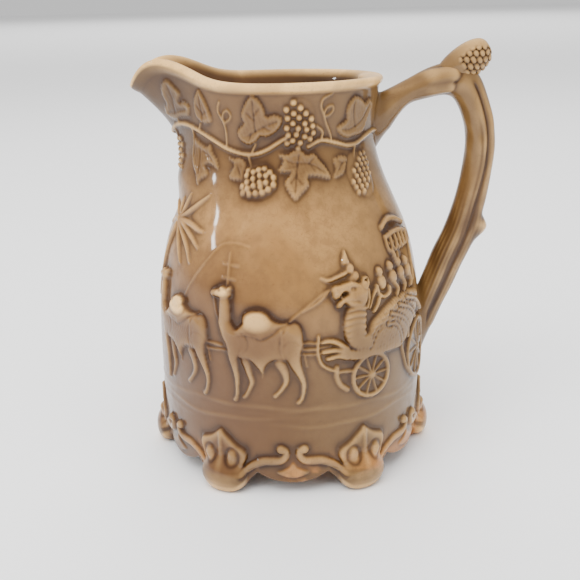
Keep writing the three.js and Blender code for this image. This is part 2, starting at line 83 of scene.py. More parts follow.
def body_radius(height):
    """Radius in mm at a height: four cubics, from hem to belly, shoulder, neck and rim."""
    stations = [
        (0, HEM_RADIUS, 0.08),
        (BELLY_HEIGHT, BELLY_RADIUS, 0),
        (SHOULDER_HEIGHT, SHOULDER_RADIUS, -0.27),
        (NECK_HEIGHT, NECK_RADIUS, 0),
        (RIM_HEIGHT, RIM_RADIUS, 0.13),
    ]
    parts = [hermite(height, *low, *high) for low, high in zip(stations[:-1], stations[1:])]
    return np.select([height < high[0] for high in stations[1:-1]], parts[:-1], parts[-1])


def wrap(azimuth):
    """The same direction, written between -180 and 180 degrees."""
    return (azimuth + 180) % 360 - 180


def spout_reach(azimuth, height):
    """The throat swells by 6.2 mm, and the lip leans out by 20.6 mm more at the rim."""
    away = np.abs(wrap(azimuth + 90))
    swell = 6.2 * eased(between(120, 140, height)) * bell(away, 44)
    return swell + 20.6 * between(THROAT_HEIGHT, RIM_HEIGHT, height) ** 1.65 * bell(away, 18.6)


def flatness(height):
    """Share of the depth that is left: the neck is 6.5 percent flatter from front to back."""
    return 1 - 0.065 * between(SHOULDER_HEIGHT, THROAT_HEIGHT, height)


def wall(azimuth, height, out=0.0):
    """Points of the wall in mm; azimuth is measured from the front towards the handle."""
    radius = body_radius(height) + spout_reach(azimuth, height) + out
    away = np.abs(wrap(azimuth + 90))
    rise = between(THROAT_HEIGHT, RIM_HEIGHT, height) ** 1.6
    lift = rise * (14.5 * bell(away, 31) - 17 * bell(away, 10.5))
    angle = azimuth * DEGREE
    depth = -radius * np.cos(angle) * flatness(height)
    return np.stack([radius * np.sin(angle), depth, height + lift], axis=-1)


def unit(vectors):
    """Each vector divided by its length."""
    return vectors / np.maximum(np.linalg.norm(vectors, axis=-1, keepdims=True), 1e-12)


def wall_normal(azimuth, height):
    """Outward direction: the step across, crossed with the step up."""
    across = wall(azimuth + 0.4, height) - wall(azimuth - 0.4, height)
    upward = wall(azimuth, height + 0.4) - wall(azimuth, height - 0.4)
    return unit(np.cross(across, upward))


print("radius at the neck", round(float(body_radius(np.array(155.0))), 2), "mm")

# %% [markdown]
# ## The grid
# The outer skin is one sheet of points, in columns around and rows upwards. Columns lie closer on
# the side with the procession than on the plainer back. The lowest rows follow the scalloped hem,
# so every row above it bends a little less, until the rows are level at the ground line.

# %% Columns and rows of the outer skin
COLUMNS = 800
INNER_STEP = 4
GROUND_CUT, WAIST_CUT, SHOULDER_CUT = 40.0, 84.0, 126.0
BEAD_BOTTOM = 176.0
FOOT_ROWS, BELLY_ROWS, SHOULDER_ROWS, NECK_ROWS = 92, 97, 93, 100
FOOT_AZIMUTHS = np.arange(-150, 181, 60)
HEM_BEND = 63.4
TOE_WIDE, TOE_TALL, TOE_MIDDLE = 12.2, 9.0, 7.4


def column_azimuths():
    """Azimuths at equal steps of the summed weight, which is 1 in front and 0.6 behind."""
    fine = np.linspace(-180, 180, 7201)
    weight = 1 - 0.4 * eased(between(100, 125, np.abs(fine)))
    total = np.concatenate([[0], np.cumsum((weight[1:] + weight[:-1]) / 2)])
    return np.interp(np.arange(COLUMNS) / COLUMNS * total[-1], total, fine)


def hem_height(azimuth):
    """Scallops: each lobe is a superellipse arc; lobes at the feet hang lower than those between."""
    turn = np.abs(azimuth % 60 - 30)
    bottom = np.where(turn <= 15, 2.0, 5.8)
    across = np.where(turn <= 15, turn, 30 - turn) / 15
    return bottom + (10.8 - bottom) * (1 - np.maximum(0, 1 - across ** 2) ** 0.8)


def from_foot(azimuth):
    """Distance in mm along the hem to the middle of the nearest foot."""
    return (azimuth % 60 - 30) * DEGREE * HEM_BEND


def toe_bottom(azimuth):
    """Lower edge of the round toe, an ellipse about a middle height, cut off level with the table."""
    across = from_foot(azimuth) / TOE_WIDE
    sole = np.maximum(0, TOE_MIDDLE - TOE_TALL * np.sqrt(np.maximum(0, 1 - across ** 2)))
    return np.where(np.abs(across) < 1, sole, 99.0)


azimuths = column_azimuths()
lowest = np.minimum(hem_height(azimuths), toe_bottom(azimuths))
foot_share = np.linspace(0, 1, FOOT_ROWS)[:, None]
foot_heights = lowest + (GROUND_CUT - lowest) * foot_share
upper = np.concatenate(
    [
        np.linspace(GROUND_CUT, WAIST_CUT, BELLY_ROWS)[1:],
        np.linspace(WAIST_CUT, SHOULDER_CUT, SHOULDER_ROWS)[1:],
        np.linspace(SHOULDER_CUT, BEAD_BOTTOM, NECK_ROWS)[1:],
    ]
)
H = np.vstack([foot_heights, np.repeat(upper[:, None], COLUMNS, axis=1)])
A = np.repeat(azimuths[None, :], len(H), axis=0)
relief = np.zeros_like(H)
leafy = np.zeros_like(H)
print("outer skin:", H.shape[0], "rows of", H.shape[1], "columns")

# %% [markdown]
# ## Modelling tools
# A modeller builds relief from a few gestures: a rolled cord, a pressed lump, a cut plate and a
# ball. Each tool below gives two fields over a patch of the wall: `edge`, the distance outside
# the shape's outline in mm (negative inside), and `rise`, the height of the clay there.


# %% A patch of wall around a point
def patch(azimuth, height, left, right, down, up, behind=False):
    """Rows and columns around an anchor, with each point's distance across (u) and up (v)."""
    seen = 180 - azimuths if behind else azimuths
    radius = float(body_radius(np.array(height)) + spout_reach(azimuth, np.array(height)))
    across = wrap(seen - azimuth) * DEGREE * radius
    columns = np.flatnonzero((across > -left) & (across < right))
    tall = H.max(axis=1) > height - down
    rows = np.flatnonzero(tall & (H.min(axis=1) < height + up))
    window = np.ix_(rows, columns)
    u = np.repeat(across[columns][None, :], len(rows), axis=0)
    return window, u, H[window] - height


# %% Curves through given points
def through(points, closed=False, samples=7):
    """Catmull-Rom curve: a cubic between each pair of points that also looks at their neighbours."""
    p = np.array(points, float)
    if closed:
        p = np.vstack([p[-1:], p, p[:2]])
    else:
        p = np.vstack([2 * p[0] - p[1], p, 2 * p[-1] - p[-2]])
    t = (np.arange(samples) / samples)[None, :, None]
    a, b, c, d = (q[:, None, :] for q in (p[:-3], p[1:-2], p[2:-1], p[3:]))
    bend = (-a + 3 * b - 3 * c + d) * t ** 3
    curve = 0.5 * (2 * b + (c - a) * t + (2 * a - 5 * b + 4 * c - d) * t ** 2 + bend)
    curve = curve.reshape(-1, p.shape[1])
    return curve if closed else np.vstack([curve, p[-2:-1]])


# %% The four gestures
def segments(uv, line):
    """For each stretch of a line: its ends, the share of it at the nearest point, and the distance."""
    u, v = uv
    for a, b in zip(line[:-1], line[1:]):
        step = b[:2] - a[:2]
        along = ((u - a[0]) * step[0] + (v - a[1]) * step[1]) / max(step @ step, 1e-9)
        t = np.clip(along, 0, 1)
        yield a, b, t, np.hypot(u - a[0] - t * step[0], v - a[1] - t * step[1])


def cord(uv, points, width=None, height=None, sharp=0.5):
    """Rolled cord: height times (1 - (distance / half width) squared) to the power of sharp.

    Points are (u, v), or (u, v, width, height) where the cord swells and tapers.
    """
    line = through([p if len(p) == 4 else (*p, width, height) for p in points])
    edge = np.full(uv[0].shape, 99.0)
    rise = np.zeros(uv[0].shape)
    for a, b, t, distance in segments(uv, line):
        half = (a[2] + t * (b[2] - a[2])) / 2
        edge = np.minimum(edge, distance - half)
        dome = np.maximum(1 - (distance / np.maximum(half, 0.05)) ** 2, 0) ** sharp
        rise = np.maximum(rise, (a[3] + t * (b[3] - a[3])) * dome)
    return edge, rise


def lump(uv, u0, v0, wide, tall, height, turn=0.0, sharp=0.5):
    """Pressed lump: an ellipse whose height falls as (1 - q squared) to the power of sharp."""
    u, v = uv[0] - u0, uv[1] - v0
    cosine, sine = np.cos(turn * DEGREE), np.sin(turn * DEGREE)
    q = np.hypot((u * cosine + v * sine) / wide, (-u * sine + v * cosine) / tall)
    return (q - 1) * min(wide, tall), height * np.maximum(1 - q ** 2, 0) ** sharp


def outline_distance(uv, outline):
    """Signed distance to a closed outline: a ray that crosses it an odd number of times starts inside."""
    u, v = uv
    nearest = np.full(u.shape, 99.0)
    inside = np.zeros(u.shape, bool)
    for a, b, t, distance in segments(uv, np.vstack([outline, outline[:1]])):
        nearest = np.minimum(nearest, distance)
        straddles = (a[1] > v) != (b[1] > v)
        if a[1] != b[1]:
            inside ^= straddles & (u < a[0] + (v - a[1]) / (b[1] - a[1]) * (b[0] - a[0]))
    return np.where(inside, -nearest, nearest)


def plate(uv, points, height, rim=1.2, teeth=0.0, dish=0.0):
    """Cut plate: a closed smooth outline with a rounded shoulder, sometimes toothed or dished."""
    outline = through(points, closed=True, samples=6)
    if teeth:
        ring = np.vstack([outline, outline[:1]])
        along = np.concatenate([[0], np.cumsum(np.hypot(*np.diff(ring, axis=0).T))])
        steps = 2 * int(along[-1] / 1.7)
        at = np.arange(steps) / steps * along[-1]
        outline = np.stack([np.interp(at, along, ring[:, 0]), np.interp(at, along, ring[:, 1])], axis=1)
        ahead = unit(np.roll(outline, -1, axis=0) - np.roll(outline, 1, axis=0))
        zigzag = np.where(np.arange(steps) % 2, teeth, -teeth)[:, None]
        outline = outline + zigzag * np.stack([ahead[:, 1], -ahead[:, 0]], axis=1)
    edge = outline_distance(uv, outline)
    depth = np.clip(-edge / rim, 0, 1)
    hollow = dish * eased(between(0.6, 2.6, -edge))
    return edge, (height - hollow) * np.sqrt(1 - (1 - depth) ** 2)


def balls(uv, centres, radius, height):
    """Round balls side by side, each the upper half of an ellipsoid."""
    u, v = uv
    edge = np.full(u.shape, 99.0)
    rise = np.zeros(u.shape)
    for u0, v0 in centres:
        distance = np.hypot(u - u0, v - v0)
        edge = np.minimum(edge, distance - radius)
        rise = np.maximum(rise, height * np.sqrt(np.maximum(1 - (distance / radius) ** 2, 0)))
    return edge, rise


# %% Putting gestures together
def soft_max(first, second, reach):
    """The higher of two surfaces, with a fillet of the given reach where they meet."""
    overlap = np.maximum(reach - np.abs(first - second), 0) / reach
    return np.maximum(first, second) + overlap ** 2 * reach / 4


def lay(clay, shape, fillet=0.25, lift=0.0, crease=0.0):
    """Press a shape on the clay: first cut a crease around it, then take the higher surface."""
    edge, rise = shape
    cut = crease * np.exp(-((edge / 0.5) ** 2)) * (edge > -0.2)
    raised = np.where(edge < 0, rise + lift, -9.0)
    return soft_max(clay - np.minimum(cut, np.maximum(clay, 0)), raised, fillet)


def scratch(clay, shape, depth):
    """Draw a groove with a tool: the clay sinks by depth where the shape is."""
    return clay - depth * np.where(clay > 0.15, np.minimum(shape[1], 1), 0)


def press(window, clay):
    """Keep the higher of the wall's relief and the new clay."""
    relief[window] = np.maximum(relief[window], clay)


print("tools ready: cord, lump, plate, balls")

# %% [markdown]
# ## Vine on the neck
# A stem winds around the neck with leaves, two tendrils and hanging bunches. Grape vines of this
# kind are a common pattern on moulded jugs. The leaves are cut plates with toothed outlines, a
# dished middle and scratched veins; the grapes are balls that stand apart, with glaze between.
# Points are millimetres across and up from an anchor: an azimuth and a height on the wall.


# %% Leaves
def vine_leaf(place, outline, veins, height=1.7, teeth=0.3, **where):
    """One leaf: a toothed, dished plate with a groove along each vein."""
    window, u, v = patch(*place, 17, 17, 17, 17, **where)
    clay = lay(np.zeros(u.shape), plate((u, v), outline, height * 0.86, 1.3, teeth * 0.8, 0.3))
    grain = np.sin((u * 0.5 + v) * 2.6) * np.sin((u - v * 0.6) * 2.3)
    clay = clay - 0.1 * (1 + grain) * (clay > height * 0.5)
    for vein in veins:
        clay = scratch(clay, cord((u, v), vein, 0.9, 1.0, 1.0), 0.42)
    leafy[window] = np.maximum(leafy[window], clay > 0.3)
    press(window, clay)


LEAF_UPPER = [(0, 10.3), (-3, 7.3), (-5.6, 2), (-4.6, -1.5), (-6, -3), (-8, -5.6), (-6.6, -9), (-3, -10.8),
              (0.5, -9.4), (2.6, -7), (5, -7.3), (8.6, -5.7), (11.4, -2.8), (12.2, 0.6), (9, 2.1),
              (5.6, 1.4), (5, 4), (3, 8)]
LEAF_UPPER_VEINS = [[(0.5, -5), (0.2, 0), (0, 8)], [(0.5, -5), (5, -2.6), (10, -0.8)],
                    [(0.5, -5), (-3, -7)], [(0.2, 0), (-3, 3)], [(0.2, 2), (3, 5)], [(4, -3), (7, -4.6)],
                    [(-1.5, -6), (-2.5, -9)]]
LEAF_LOWER = [(-1, 10), (-4, 9.6), (-6.2, 8.2), (-10.4, 8), (-8.2, 6.3), (-8.6, 4), (-10.4, 1.2),
              (-7.6, 0.4), (-5, 0.2), (-7.6, -3.5), (-6.3, -7), (-3.6, -10.8), (-0.6, -8.2), (2.6, -5),
              (2.4, -1.7), (6.8, -1.9), (12.6, -3), (10.6, 2), (8, 5.2), (5.6, 8), (2.4, 7.6), (0.8, 9)]
LEAF_LOWER_VEINS = [[(-1, 8), (-2, 3), (-3.4, -8)], [(-1.6, 4), (4, 3.4), (10.6, -1)],
                    [(-1.6, 4), (-5, 4.6), (-8, 7)], [(-1.8, 3), (-5, 2.4), (-8.6, 1.6)],
                    [(3, 3.6), (5.4, 6)], [(4, 3), (5.6, 0)], [(-2.4, -1), (-5, -4)], [(-2.6, -2), (0, -5)]]
LEAF_SIDE = [(-5.6, -1.4), (-8, -3.2), (-10.5, -5), (-8.6, -8), (-4.4, -9.8), (-0.8, -9.2), (3, -9),
             (7, -7.2), (9.5, -2.6), (13.2, 3), (10, 6), (6.4, 4.4), (3.4, 6.4), (-1, 8), (-4.4, 5.6),
             (-5.8, 2)]
LEAF_SIDE_VEINS = [[(0, -5), (-1.6, 0), (-1.6, 6)], [(0, -5), (5, -2), (10, 4)],
                   [(0, -5), (-4, -6), (-8, -5.6)]]
for behind in (False, True):
    vine_leaf((-18, 166), LEAF_UPPER, LEAF_UPPER_VEINS, 1.7, behind=behind)
    vine_leaf((9, 143), LEAF_LOWER, LEAF_LOWER_VEINS, 1.9, behind=behind)
    vine_leaf((46, 166), LEAF_SIDE, LEAF_SIDE_VEINS, 1.6, behind=behind)
print("three broad leaves on each side of the neck")

# %% Smaller leaves and the leaves by the spout
LEAF_SPOUT = [(1.5, 6.6), (-1.2, 4.6), (-2.7, 2), (-2.7, -1), (-5, -1.6), (-6.6, -3.6), (-4.4, -6), (0, -7),
              (4.6, -5.8), (8, -5.2), (11, -4.2), (12.3, -0.6), (8.6, 0.6), (5.8, -0.4), (8.3, 2.8),
              (5.6, 5), (3.8, 6.6)]
LEAF_BUD = [(0.5, 7.4), (-1.8, 5.2), (-3.2, 3), (-4, 0), (-3.2, -3.8), (0.5, -5.6), (3.6, -5), (6, -4),
            (5.6, -1), (3.6, 4)]
LEAF_HANGING = [(-8, 8.4), (-8.7, 5), (-9.3, 1), (-7.4, -4), (-4.6, -7), (-2, -11.6), (-0.8, -9.4),
                (3.4, -6.6), (1, -3), (4, -2.2), (8.6, -4.2), (7.4, -0.4), (4.6, 3), (3.4, 6.4), (0.6, 5),
                (-3.4, 6.4)]
LEAF_TUCKED = [(-4.7, 4.4), (-1.6, 1.4), (-2.4, -1), (-3.4, -4), (0, -5), (3.6, -4.6), (4, -2), (4.6, 2),
               (1.5, 4.6), (-1.6, 4)]
LEAF_SMALL = [(-5, 4), (-2.8, 4.2), (-1, 5), (3, 4), (2, 1.6), (1, -1), (-1, -3), (-6, -4.2), (-4.2, -0.5)]
for behind in (False, True):
    veins = [[(1, -4), (2.4, 1), (2, 5)], [(1, -4), (5, -3), (10, -2)], [(1, -4), (-4, -4)]]
    vine_leaf((-75, 168), LEAF_SPOUT, veins, 1.4, behind=behind)
    veins = [[(-6.6, 7), (-7.4, 0)], [(-3, 4), (-2.6, -9)], [(-1, 3), (3, 1), (7, -2.6)]]
    vine_leaf((-52, 148), LEAF_HANGING, veins, 1.5, 0.3, behind=behind)
veins = [[(0.8, -5), (0.4, 0), (0.4, 6)], [(0.6, -2), (3.4, -0.4)], [(0.4, -1), (-2, 1)]]
vine_leaf((-53, 168), LEAF_BUD, veins, 1.5, 0.16)
vine_leaf((-29, 145), LEAF_TUCKED, [[(-3, 3), (0, 1), (2.4, -3.6)]], 1.5, 0.3)
vine_leaf((35, 144), LEAF_SMALL, [[(2, 2.6), (-1, 1), (-4, -2.6)], [(0, 1.6), (-3, 3.2)]], 1.3, 0.26)
print("five small leaves in front, two behind")

# %% Grapes
BUNCH_ROUND = [(-3, 8.5), (-6, 5.6), (-0.2, 6.2), (-3, 4), (2, 3.8), (-5.6, 2), (-0.8, 2.2), (4.4, 1.4),
               (-3.4, -0.2), (1.6, -0.4), (5, -1.6), (-6, -2.2), (-1.2, -2.4), (2.4, -3), (5.4, -4.6),
               (-5.4, -5.2), (-2, -5), (1.6, -6), (4, -7.2), (-6, -8.8), (-0.4, -8.6), (-1.4, -11.2),
               (-3.6, -7.6)]
BUNCH_BROAD = [(-5, 5), (-5.2, 2.6), (-2.3, 4), (0, 5.2), (2.6, 5.8), (5, 4.2), (6.6, 1.9), (6.6, -1),
               (4.4, -3), (2, -4.2), (-0.8, -4.6), (-3.6, -5), (-6.4, -4.4), (-7, -2), (-4.8, -0.2),
               (-4.4, -2.8), (-2.2, 1.2), (-1.8, -1.6), (0.6, 2.6), (0.8, -0.2), (3.3, 2.6), (3.4, -0.2),
               (1.2, -2)]


def bunch(place, centres, radius, height, cushion, **where):
    """A hanging bunch: a low cushion under separate balls."""
    window, u, v = patch(*place, 15, 15, 17, 17, **where)
    clay = lay(np.zeros(u.shape), lump((u, v), *cushion))
    beads = balls((u, v), centres, radius, height)
    press(window, np.where(beads[0] < 0, clay + beads[1], clay * 0.8))


def tall_bunch_centres():
    """Staggered rows in an oval: 3.1 mm across, 2.3 mm between rows, leaning to the left."""
    places = []
    for row in range(8):
        shift = 1.55 if row % 2 else 0
        for item in range(-2, 3):
            u, v = item * 3.1 + shift - 0.35, 8.4 - row * 2.25
            if (u / 6.4) ** 2 + (v / 9.6) ** 2 < 1.02:
                places.append((u + v * 0.34 - 0.8, v))
    return places


for behind in (False, True):
    bunch((9, 164.5), BUNCH_ROUND, 1.4, 1.45, (-0.6, -0.5, 7.4, 11, 0.6), behind=behind)
    bunch((-15.5, 139.5), BUNCH_BROAD, 1.4, 1.35, (0, 0.4, 8.2, 6.6, 1.5), behind=behind)
    bunch((48.5, 140), tall_bunch_centres(), 1.15, 1.15, (-1, 0, 7.6, 10.2, 1.1, 18), behind=behind)
spout_bunch = [(x * 2.5 + (y % 2) * 1.25, 6 - y * 2.4) for y in range(6) for x in (-1, 0, 1)]
bunch((-80, 148), spout_bunch, 1.2, 1.1, (0.6, 0, 4.4, 7.6, 1))
print("four bunches;", len(tall_bunch_centres()), "grapes in the tall one")

# %% Stem, tendrils and stalks
NECK_MM = 42 * DEGREE


def neck_path(pairs):
    """Azimuths in degrees along the neck turned into mm."""
    return [(azimuth * NECK_MM, height - 155) for azimuth, height in pairs]


STEM = [(-92, 157.5), (-84, 158.5), (-67.5, 160), (-57, 159), (-46.5, 156.5), (-37, 153.5), (-28, 151.5),
        (-20, 151), (-12, 152.7), (-4.5, 156), (1, 158.5)]
STEM_RIGHT = [(13, 154), (21, 156.4), (30, 155), (39.5, 153), (47.5, 153.4), (55.5, 155.3), (67.5, 157),
              (84, 156)]
STALKS = [[(-20, 151.5), (-17.5, 155.5)], [(-22, 150.5), (-20, 146), (-18, 144)],
          [(21, 156.5), (22, 160), (18.5, 162.5)], [(9, 152), (9, 148)], [(-62, 159.5), (-59.5, 153)],
          [(-80, 158), (-79, 153)], [(46, 153), (44, 148)], [(-56, 159), (-54, 162)],
          [(-73, 160), (-73, 163)]]
for behind in (False, True):
    window, u, v = patch(0, 155, 70, 66, 12, 12, behind=behind)
    clay = lay(np.zeros(u.shape), cord((u, v), neck_path(STEM), 1.9, 1.3))
    clay = lay(clay, cord((u, v), neck_path(STEM_RIGHT), 1.9, 1.3))
    for stalk in STALKS:
        clay = lay(clay, cord((u, v), neck_path(stalk), 1.2, 0.9))
    press(window, clay)
for place, tendril, loop in [
    ((-37.5, 155), [(1, -1), (1, 5), (0.5, 8), (-0.5, 10.5), (-2, 13), (-2, 15), (-1, 17.4)],
     [(0.8, 9), (3.2, 10.5), (4, 12.4), (2.5, 14.2), (0.5, 13), (0, 10.5)]),
    ((30, 156), [(-1.2, -1), (-2, 3), (-4, 7.5), (-5.5, 12), (-6.5, 15), (-5.6, 18), (-1.5, 20.2)],
     [(-5, 10.5), (-2.5, 11), (-0.8, 13), (-1.4, 14.8), (-3.7, 14.2), (-5, 12)]),
]:
    window, u, v = patch(*place, 10, 10, 4, 23)
    clay = lay(np.zeros(u.shape), cord((u, v), tendril, 0.95, 0.8))
    press(window, lay(clay, cord((u, v), loop + loop[:1], 0.9, 0.75)))
print("stem, nine stalks and two tendrils")

# %% [markdown]
# ## The procession
# Two laden camels walk towards the spout and draw a car with a dragon prow. Each figure is built
# from far to near: legs on the far side first, then the trunk, the near legs, the neck and head,
# and last the thin straps. A crease around each nearer form keeps it apart from what is behind.


# %% A camel's parts, as points across and up from the ground, some with a width and a height
FAR_LEGS = [
    [(-6.4, 21, 4.6, 1.5), (-4.9, 15, 2.9, 1.3), (-3.8, 10.8, 2.3, 1.2), (-5, 7.4, 1.8, 1.1),
     (-6.6, 4.2, 1.7, 1), (-7.6, 3.2, 1.9, 0.9)],
    [(9, 20.4, 5.6, 1.6), (10.9, 15.6, 3.6, 1.4), (11.3, 11.6, 2.6, 1.3), (9.4, 8, 1.9, 1.2),
     (7.4, 5.6, 1.8, 1.1), (6.4, 4.6, 2, 1)],
]
NEAR_LEGS = [
    [(14.2, 26, 8, 2.5), (15, 21, 5.6, 2.3), (16.9, 16, 3.6, 2), (18.5, 11.8, 2.4, 1.8),
     (18.9, 8.6, 1.9, 1.6), (18.4, 5, 1.6, 1.5), (17.6, 2.8, 1.7, 1.4), (16.4, 1.4, 1.9, 1.2)],
    [(-12, 27, 7, 2.4), (-12.1, 21.5, 4.8, 2.2), (-11.2, 16.5, 3.1, 2), (-10.6, 12, 2.3, 1.8),
     (-10.6, 7, 1.7, 1.6), (-10.9, 3.6, 1.6, 1.5), (-11.8, 1.5, 2.1, 1.3)],
]
TAIL = [(17, 27), (19, 24.5), (19.7, 21.5), (20.4, 18)]
TRUNK = [(-14, 36), (-15.6, 31), (-14.6, 26), (-12.4, 21.6), (-8.5, 21.2), (-5, 21), (-2.5, 19), (-0.6, 17),
         (1.2, 15), (2.2, 17.6), (4, 20), (7, 21.4), (11.5, 21), (15, 22.4), (18.4, 25), (19.3, 28.5),
         (18, 32.4), (15.4, 36), (12.5, 38), (8, 37.4), (2, 38), (-6, 36.6), (-10, 34)]
CLOTH = [(-13, 33.6), (-10.5, 32), (-5.5, 32.4), (-2, 31.9), (1, 30.9), (5, 32.8), (8.5, 35.6),
         (12.6, 37.8), (8.4, 38.2), (5.6, 39.8), (3.4, 42), (0.6, 43.2), (-2.4, 42.8), (-5, 41),
         (-7.4, 37.6), (-9.8, 35)]
NECK = [(-10.4, 28.5, 11, 2.4), (-13.6, 31.6, 8.4, 2.5), (-15.9, 36, 6.6, 2.4), (-16.2, 40, 6.0, 2.4),
        (-16.4, 44, 5.6, 2.4), (-16.6, 47, 5.2, 2.4)]
MUZZLE = [(-19, 49.2, 4.0, 2.5), (-21.4, 49.1, 3.1, 2.3), (-22.6, 48.8, 2.9, 2.2)]
STRAPS = [
    [(-22.4, 47), (-21, 41), (-19, 37), (-16, 34), (-11.5, 32.2), (-5.5, 32.6), (1, 31.4)],
    [(-19.6, 51.6), (-20.2, 47.4)],
    [(11, 37.6), (14, 38.6)],
    [(1.2, 15.4), (1, 13)],
    [(9.6, 35.4), (10, 28), (10.4, 22)],
]
FIGURE_PATCH = dict(height=45, left=27, right=25, down=4, up=62)


# %% Camel
def camel(azimuth, pack=False, behind=False):
    """A camel in profile, 50 mm high, about its point on the ground line."""
    window, u, v = patch(azimuth, **FIGURE_PATCH, behind=behind)
    uv = (u, v)
    clay = np.zeros(u.shape)
    for leg in FAR_LEGS:
        clay = lay(clay, cord(uv, leg))
    clay = lay(clay, cord(uv, TAIL, 0.9, 0.8))
    clay = lay(clay, plate(uv, TRUNK, 2.2, 3.0), 0.2, 0, 0.2)
    fur = np.sin((u + 0.9 * np.sin(v * 0.7) + (0.12 if pack else 1.1) * v) * 2 * np.pi / 1.5)
    below_cloth = eased(between(33, 30, v)) * eased(between(15, 17.5, v)) * (np.abs(u - 1) < 13)
    clay = clay - (0.24 if pack else 0.11) * (fur + 1) * below_cloth * (clay > 0.9)
    clay = lay(clay, plate(uv, CLOTH, 2.9, 3.0), 0.15, 0.0, 0.4)
    hump = lump(uv, -0.9, 38.2, 7.0, 4.9, 3.5, -8)
    clay = lay(clay, hump, 0.7)
    haunch = lump(uv, 13.9, 29.2, 4.9, 8.8, 2.6, -10)
    clay = lay(clay, haunch, 0.4, 0.0, 0.35)
    for leg in NEAR_LEGS:
        clay = lay(clay, cord(uv, leg), 0.4, 0.0, 0.35)
    clay = lay(clay, cord(uv, NECK), 0.3, 0.0, 0.3)
    skull = lump(uv, -16.9, 49.3, 3.9, 2.7, 2.8, 6)
    clay = lay(clay, skull, 0.3, 0.0, 0.3)
    clay = lay(clay, cord(uv, MUZZLE), 0.3, 0.0, 0.1)
    ear, brow = lump(uv, -14.2, 51.3, 1.2, 1.0, 2.6, 20), lump(uv, -17.6, 51.5, 1.6, 0.8, 2.7)
    clay = lay(lay(clay, ear, 0.2), brow, 0.3)
    mouth = cord(uv, [(-23.8, 47.9), (-21.4, 47.9)], 0.6, 1.0, 1.0)
    eye = lump(uv, -18.6, 50.2, 0.7, 0.6, 1.0)
    clay = scratch(scratch(clay, mouth, 0.5), eye, 0.5)
    for strap in STRAPS:
        clay = lay(clay, cord(uv, strap, 0.8, 0.5), 0.15, np.maximum(clay, 0) * 0.95)
    if pack:
        lower_roll, upper_roll = (-0.6, 38.2, 6.2, 3.0, 3.5, 0, 0.35), (0.4, 41.4, 3.8, 2.5, 3.8, 0, 0.4)
        for roll in (lower_roll, upper_roll):
            clay = lay(clay, lump(uv, *roll), 0.15, 0, 0.5)
        for fold in (-3.6, -1.4, 0.8, 3.0):
            clay = scratch(clay, cord(uv, [(fold, 40), (fold + 0.3, 35.8)], 0.6, 1.0, 1.0), 0.35)
    press(window, clay)


camel(-52, pack=True)
camel(-12)
camel(-12, behind=True)
print("two camels in front, one behind; highest relief", round(relief.max(), 2), "mm")

# %% Reins, traces, whip and standard
window, u, v = patch(-12, 45, 46, 46, 4, 78)
clay = np.zeros(u.shape)
for line, width, height in [
    ([(13, 38.4), (23.5, 46), (31, 50.6), (38, 52.6)], 0.8, 0.6),
    ([(17, 26.2), (24.5, 26), (31, 26.6)], 1.1, 0.8), ([(18, 23.6), (24, 23.4), (31, 24)], 1.0, 0.8),
    ([(-26.5, 26.6), (-18, 26)], 1.2, 0.8), ([(-28, 23.6), (-16, 24)], 1.0, 0.7),
    ([(-15.6, 52), (-15.6, 66)], 0.9, 0.65), ([(-19, 61.6), (-15.6, 61.4), (-10, 61)], 0.8, 0.5),
    ([(-19, 56), (-15.6, 55.8), (-12, 55.4)], 0.8, 0.5),
    ([(-42, 43), (-38, 50), (-32.5, 57.5), (-24, 66.6), (-19.6, 69.4), (-13, 70), (-6, 69)], 0.8, 0.5),
]:
    clay = lay(clay, cord((u, v), line, width, height), 0.2)
press(window, clay)
print("straps laid")


# %% Palm tree
PALM_TRUNK = [(0, 0, 2.6, 1.3), (-4, -12, 2.6, 1.3), (-5.5, -22, 2.8, 1.3), (-6, -36, 3.4, 1.2)]
FRONDS = [
    [(0, 0), (6, 3.4), (13, 7.6), (21.4, 13)],
    [(0, 0), (4, 6.5), (8, 12.6)],
    [(0, 0), (-1, 5.5), (1, 10)],
    [(0, 0), (6, 0.2), (13, -0.4), (18.5, -1.6), (22, -2)],
    [(0, 0), (7, -1.6), (15, -5), (21, -8.8)],
    [(0, 0), (4, -2.6), (10, -6.4), (14.5, -10.5), (17.5, -15.4)],
    [(0, 0), (3, -4.6), (7.4, -11), (11, -17)],
    [(0, 0), (-3, -4), (-5, -9), (-5.4, -14.5)],
    [(0, 0), (-6, 3), (-10, 7)],
    [(0, 0), (-7, -1), (-12, -4)],
]


def palm(azimuth, height, behind=False):
    """Folded fronds around a crown, each a ridge that widens and tapers, on a leaning trunk."""
    window, u, v = patch(azimuth, height, 22, 30, 40, 20, behind=behind)
    uv = (u, v)
    clay = lay(np.zeros(u.shape), cord(uv, PALM_TRUNK))
    for frond in FRONDS:
        shares = np.linspace(0, 1, len(frond))
        widths = 1.0 + 1.8 * np.sin(np.pi * (0.12 + 0.86 * shares) ** 0.9)
        points = [(a, b, w, 1.5 - 0.5 * s) for (a, b), w, s in zip(frond, widths, shares)]
        clay = lay(clay, cord(uv, points, sharp=0.8), 0.15, 0.0, 0.1)
    press(window, lay(clay, lump(uv, 0, 0, 1.8, 1.8, 1.8), 0.3))


palm(-67.5, 119.5)
palm(-67.5, 119.5, behind=True)
print("a palm by the spout on each side")

# %% [markdown]
# ## The dragon car
# The prow is a beast's neck with ribs across it and an open muzzle. Behind it sits a scaly hull
# with seated riders under a canopy, on spoked wheels. Riders this small are a ball for the head,
# a lump for the trunk and a cord for each limb, as a mould maker would leave them.


